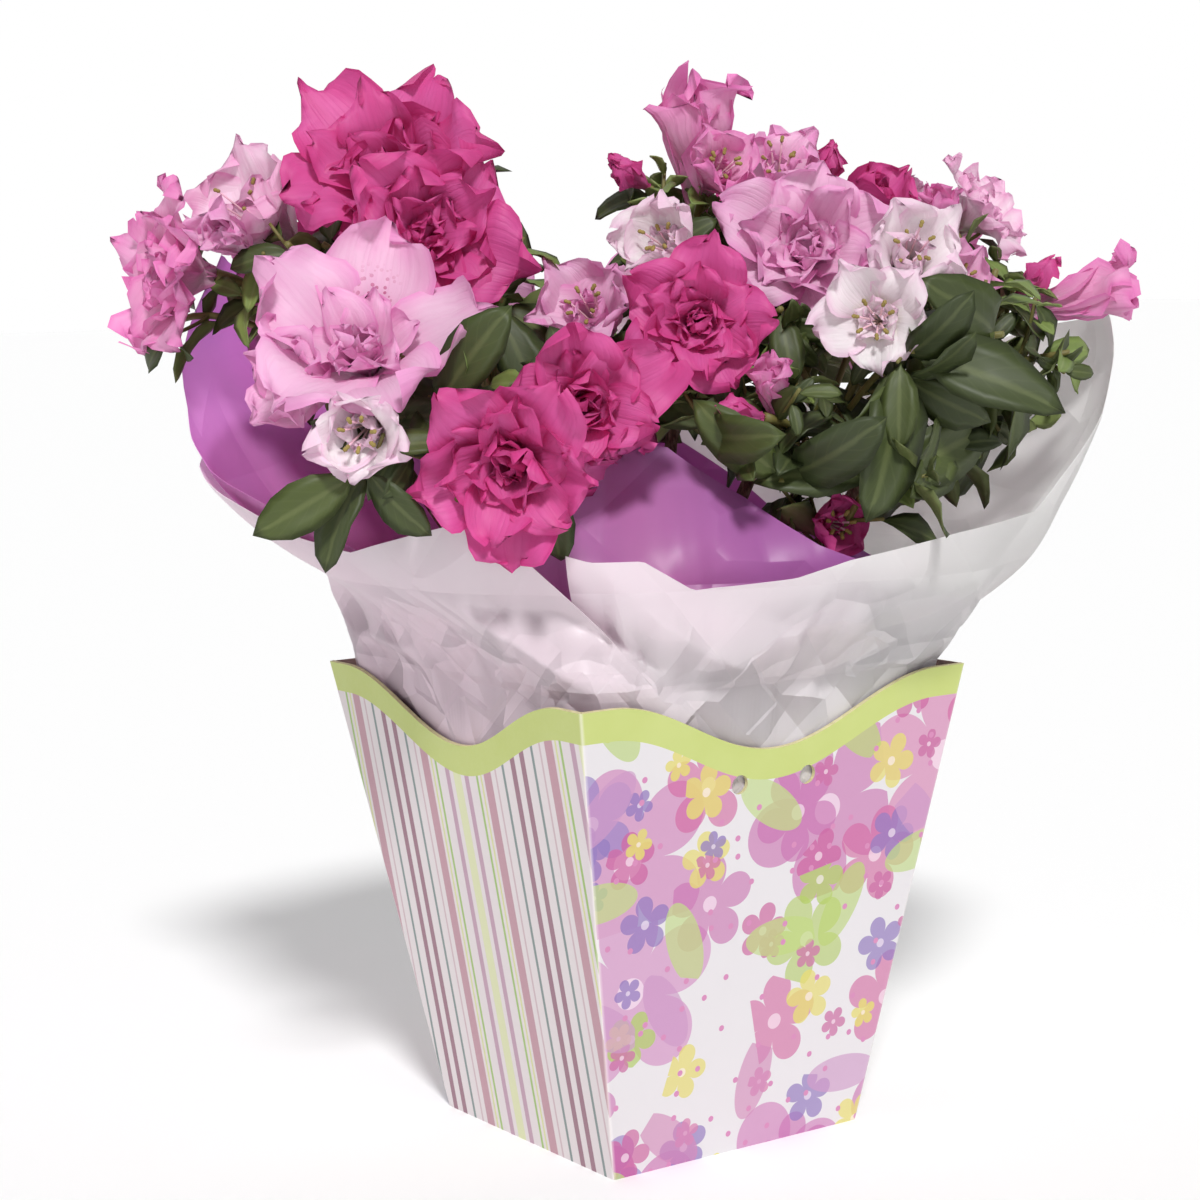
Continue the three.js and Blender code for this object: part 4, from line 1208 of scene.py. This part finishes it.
leaf_parts = {name: [] for name in LEAF_GREENS}
for points, leaves, leaf_length, leaf_seed in twigs:
    way = np.linalg.norm(points[1] - points[0]) * (len(points) - 1)
    for i in range(leaves):
        share = max(0.3, 1 - (FIRST_LEAF + LEAF_PITCH * i) / way)
        at = share * (len(points) - 1)
        low = min(int(at), len(points) - 2)
        node = points[low] + (points[low + 1] - points[low]) * (at - low)
        axis = unit(points[low + 1] - points[low])
        aside = square_to(axis, GOLDEN_ANGLE * i + 2 * pi * chance(leaf_seed))
        lean = radians(drawn(LEAF_LEAN, leaf_seed + i + 0.3))
        direction = aside * cos(lean) + axis * sin(lean)
        direction = unit(direction - LEAF_DROOP * UP)
        reach = leaf_length * drawn(LEAF_SIZES, leaf_seed + i + 0.7)
        samples = [node + direction * reach * s for s in LEAF_SAMPLES]
        if any(before_a_bloom(sample) for sample in samples) or not clear_of_film(samples):
            continue
        tone = chance(leaf_seed + 3 * i + 0.1)
        young = tone > YOUNG_TONE and reach < YOUNG_LENGTH or axis[2] > YOUNG_RISE
        kind = "leaves_young" if young else "leaves_mid" if tone > MID_TONE else "leaves_dark"
        leaf_parts[kind].append(leaf(node, direction, axis, reach, leaf_seed + 5 * i))


def tile_pattern(material):
    """A tile's own tone from 0 to 1, and the places across and along the leaf or petal laid on it."""
    across, along, _ = parts_of(reading("ShaderNodeUVMap", {}, tree=material.node_tree, uv_map="OFBake"))
    tiled = across * TILES
    return calc("FLOOR", tiled) / (TILES - 1), calc("FRACT", tiled), along


def leaf_material(name, deep, bright, under):
    """Leathery green with a pale midrib and faint slanting veins, and another green underneath."""
    material = new_material(name)
    tone, across, along = tile_pattern(material)
    from_midrib = abs(calc("PINGPONG", across, 0.5) - 0.25) * 4
    mottle = noise_of(vector_of(across * 2.0, along, tone * 7.0), 5.0, 3.0)
    vein = abs(calc("SINE", (along * LEAF_VEINS - from_midrib * VEIN_SLANT) * pi)) ** 8.0
    vein = 1.0 - between(1.0 - vein, 0.0, 0.35)
    midrib = between(from_midrib, 0.05, 0.16, 1.0, 0.0)
    green = mix_colour(tone * 0.45 + mottle * 0.5, deep, bright)
    green = mix_colour(midrib * 0.24, green, under)
    green = mix_colour(vein * 0.05, green, under)
    green = mix_colour(across > 0.5, green, mix_colour(mottle, under, bright))
    finish(material, green, between(mottle, 0.3, 0.7, 0.5, 0.64), bump(vein + midrib, -0.2, 0.2 * MM))
    return material


for name, parts in leaf_parts.items():
    leaves_piece = joined_mesh(name, parts, leaf_material(name, *LEAF_GREENS[name]))
    stand_for(leaves_piece, "spray", *spray_nodes)

# Blossom: wavy, crumpled petals in rings round each bloom's axis, joined at their foot in a green
# calyx. The full blooms have a heart of narrow petals; half-open ones and buds stay rolled.
OUTER_GRID = (10, 8)
INNER_GRID = (8, 6)
PETAL_WIDTHS = (
    # shares of the length, and the shares of the width there
    (0, 0.12, 0.3, 0.48, 0.64, 0.8, 0.9, 0.96, 1), (0.2, 0.3, 0.6, 0.9, 1, 0.92, 0.72, 0.5, 0.14),
)
PETAL_LENGTHS = (0.9, 0.2)
PETAL_BREADTHS = (0.92, 0.16)
SPREAD_PLAY = 26
POINT_DEPTH = (0.05, 0.15)
RAGGED_DEPTH = 0.07
MARGIN_DEPTH = 0.1
MARGIN_WAVES = (1.3, 1.1)
TIP_DEPTH = 0.07
KEEL_DEPTH = 0.07
CRUMPLE_SHARE = 0.15
PLACE_PLAY = 0.3
FRECKLED_FACING = 0.7
PETAL_THROUGH = 0.3
TIP_PACKING = 1.45
BLOOM_RINGS = {
    # petals, length, width, angle off the axis at foot and tip, how far they wrap round; in widths
    "double": ((5, 0.78, 0.58, 26, 98, 0.15), (6, 0.64, 0.42, 20, 78, 0.35), (6, 0.48, 0.3, 12, 50, 0.6),
               (6, 0.38, 0.22, 4, 26, 0.9)),
    "semi": ((5, 0.84, 0.66, 30, 92, 0.1), (6, 0.5, 0.3, 16, 72, 0.6), (6, 0.38, 0.22, 4, 40, 0.9)),
    "open": ((5, 0.8, 0.62, 28, 90, 0.1), (5, 0.44, 0.26, 14, 66, 0.5), (5, 0.34, 0.16, 6, 36, 0.8)),
    "cup": ((5, 0.9, 0.66, 10, 60, 0.5), (5, 0.62, 0.34, 6, 30, 0.8)),
    "half": ((4, 1.22, 0.7, 6, 34, 0.9), (4, 1.08, 0.5, 3, 16, 1.0)),
    "bud": ((5, 1.3, 0.8, 26, -34, 1.3),),
}
PETAL_TINTS = {
    # throat, blade, margin, veins
    "deep": ("E06AAC", "E565AE", "DC4C98", "C0347D"),
    "mid": ("FAE6F0", "F7BADE", "EE88C8", "DE6EB2"),
    "light": ("FBEEF5", "FAD0EA", "F2A6D8", "E694CA"),
    "white": ("DCE0A4", "FEFAFA", "F8D4EA", "F6E6EE"),
    "pale": ("F8F2E4", "FBE6F2", "F5B4DC", "EEBFD8"),
    "freckled": ("FBEAF2", "F9CBE7", "F3A2D6", "E794C8"),
}
FRECKLES = "C23B7C"


def petal(base, axis, out, size, ring, grid, seed):
    """A petal's corners, faces and pattern: a thin sheet that bends outward, ruffled at its margin."""
    _, length, width, lean, spread, wrap = ring
    rows, columns = grid
    even = np.linspace(0, 1, rows + 1)[:, None]
    along = 1 - (1 - even) ** TIP_PACKING
    across = np.linspace(-1, 1, columns + 1)[None]
    length = length * size * drawn(PETAL_LENGTHS, seed + 0.11)
    spread = spread + SPREAD_PLAY * (chance(seed + 0.23) - 0.5)
    bend = np.radians(lean + (spread - lean) * along[:, 0] ** 1.3)
    steps = np.diff(along[:, 0]) * length / 2
    outward = np.concatenate(([0], np.cumsum((np.sin(bend[1:]) + np.sin(bend[:-1])) * steps)))
    upward = np.concatenate(([0], np.cumsum((np.cos(bend[1:]) + np.cos(bend[:-1])) * steps)))
    point = drawn(POINT_DEPTH, seed + 0.37)
    rounded = along * (1 - point * np.abs(across) ** 1.6 * along ** 3)
    ragged = RAGGED_DEPTH * np.sin(5.2 * across + 60 * point) * along ** 6
    rounded = np.minimum(rounded * (1 - ragged), 1)
    radial = np.interp(rounded, along[:, 0], outward)
    height = np.interp(rounded, along[:, 0], upward)
    turn_back = np.interp(rounded, along[:, 0], bend)
    half = width * size / 2 * np.interp(along, *PETAL_WIDTHS) * drawn(PETAL_BREADTHS, seed + 0.53)
    roll = wrap * across
    narrowed = np.where(np.abs(roll) > 0.01, np.sin(roll) / np.where(roll == 0, 1, roll), 1)
    sideways = half * narrowed * across
    curl = half * np.abs(across) * np.abs(np.sin(roll / 2)) * 1.6
    waves = drawn(MARGIN_WAVES, seed + 0.71)
    phase = 2 * pi * chance(seed + 0.83)
    ruffle = np.sin(2 * pi * waves * even + phase * np.sign(across))
    margin = MARGIN_DEPTH * length * np.abs(across) ** 1.5 * ruffle
    tip = TIP_DEPTH * length * along ** 4 * np.sin(3.5 * across + phase)
    keel = -KEEL_DEPTH * length * (1 - np.abs(across)) * np.sin(pi * along)
    crumple = np.array([[noise.noise(Vector((a * 1.8 + seed, b * 1.5, seed * 0.37))) for b in across[0]]
                        for a in along[:, 0]])
    lift = (margin + tip) * (0.4 + 0.6 * along) + keel + curl + CRUMPLE_SHARE * length * crumple * along
    side = np.cross(axis, out)
    corners = (base + (radial - lift * np.cos(turn_back))[..., None] * out
               + (height + lift * np.sin(turn_back))[..., None] * axis + sideways[..., None] * side)
    faces, shares = grid_faces(rows + 1, columns + 1, False)
    shares[..., 1] = 1 - (1 - shares[..., 1]) ** TIP_PACKING
    return corners.reshape(-1, 3), faces, shares


petal_parts = {tint: [] for tint in PETAL_TINTS}
for index, i, bloom in all_blooms:
    axis, base, size = axis_of(bloom), base_of(bloom), bloom.width * MM
    seed = index * 31 + i
    tile = floor(TILES * chance(seed + 0.9))
    for r, ring in enumerate(BLOOM_RINGS[bloom.kind]):
        for p in range(ring[0]):
            jitter = PLACE_PLAY * (chance(seed * 7 + 13 * r + p) - 0.5)
            angle = 2 * pi * (p + 0.5 * r + jitter) / ring[0] + 2 * pi * chance(seed)
            out = square_to(axis, angle)
            grid = OUTER_GRID if r == 0 else INNER_GRID
            corners, faces, shares = petal(base, axis, out, size, ring, grid, seed * 97 + 17 * r + p)
            corners = beside_film(corners, middle_of(bloom))
            shares[..., 0] = (shares[..., 0] + (tile + p) % TILES) / TILES
            upper = bloom.kind in ("semi", "open") and r == 0 and out[2] > FRECKLED_FACING
            tint = "freckled" if upper and bloom.tint in ("light", "pale") else bloom.tint
            petal_parts[tint].append((corners, faces, shares))


def petal_material(name, throat, blade, margin, veins, freckles=None):
    """A thin petal that lets light through, shaded from throat to margin, with fine fanned veins."""
    material = new_material(name)
    tone, across, along = tile_pattern(material)
    from_middle = abs(across - 0.5) * 2
    cloud = noise_of(vector_of(across * 3.0, along, tone * 9.0), 2.2)
    vein = between(noise_of(vector_of(across * 26.0, along * 1.6, tone * 5.0), 1.0), 0.45, 0.68)
    edge = calc("MAXIMUM", from_middle ** 3.0, along ** 4.0) + (cloud - 0.5) * 0.8
    colour = mix_colour(between(along + cloud * 0.2, 0.1, 0.55), throat, blade)
    colour = mix_colour(between(edge, 0.25, 1.0), colour, margin)
    colour = mix_colour(vein * 0.16, colour, veins)
    colour = mix_colour(tone * 0.22, colour, margin)
    if freckles:
        dot_spot = vector_of(across * 9.0, along * 12.0, 0.0)
        dots = reading("ShaderNodeTexVoronoi", {"Vector": dot_spot, "Scale": 2.4}, "Distance")
        zone = between(from_middle, 0.15, 0.45, 1.0, 0.0) * between(along, 0.5, 0.7, 1.0, 0.0)
        colour = mix_colour((dots < 0.34) * zone * 0.8, colour, freckles)
    finish(material, colour, 0.55, bump(vein + cloud, 0.25, 0.5 * MM))
    let_through(material, colour, PETAL_THROUGH)
    return material


for tint, parts in petal_parts.items():
    freckles = FRECKLES if tint == "freckled" else None
    petals = petal_material(f"petal_{tint}", *PETAL_TINTS[tint], freckles)
    stand_for(joined_mesh(f"blossom_{tint}", parts, petals), "spray", *spray_nodes)

# Stamens: fine pale filaments that rise from the throat of each single bloom and spread a little,
# each with a small olive anther at its tip.
STAMENS = 7
STAMEN_REACH = {"open": (0.5, 0.16), "cup": (0.66, 0.14)}
FILAMENT_RADIUS = 0.3 * MM
ANTHER_LENGTH = 2.0 * MM
ANTHER_RADII = np.array((0.35, 0.6, 0.5, 0.65, 0.3)) * MM
STAMEN_LENGTHS = (0.8, 0.35)

filament_parts = []
anther_parts = []
for index, i, bloom in all_blooms:
    if bloom.kind not in STAMEN_REACH:
        continue
    rise, spread = (share * bloom.width * MM for share in STAMEN_REACH[bloom.kind])
    axis, base = axis_of(bloom), base_of(bloom)
    for s in range(STAMENS):
        seed = index * 53 + i * 9 + s
        out = square_to(axis, 2 * pi * (s + 0.5 * chance(seed)) / STAMENS)
        tip = base + axis * rise * drawn(STAMEN_LENGTHS, seed + 0.3) + out * spread
        points = bezier((base, base + axis * rise * 0.5 + out * spread * 0.2, tip), 6)
        filament_parts.append(tube(points, np.full(7, FILAMENT_RADIUS), 5))
        pod = unit(out + 0.6 * axis) * ANTHER_LENGTH
        anther_parts.append(tube(tip + np.linspace(-0.3, 0.7, 5)[:, None] * pod, ANTHER_RADII, 6))

filament = new_material("filament")
finish(filament, mix_colour(tile_pattern(filament)[2], "E9E3C4", "F0B4D2"), 0.5)
anther = mottled_material("anther", (900.0,), ("6E5B2C", "B3A05A"), 0.8, ((3000.0,), 0.4, 0.2 * MM))
stand_for(joined_mesh("filaments", filament_parts, filament), "spray", *spray_nodes)
stand_for(joined_mesh("anthers", anther_parts, anther), "spray", *spray_nodes)
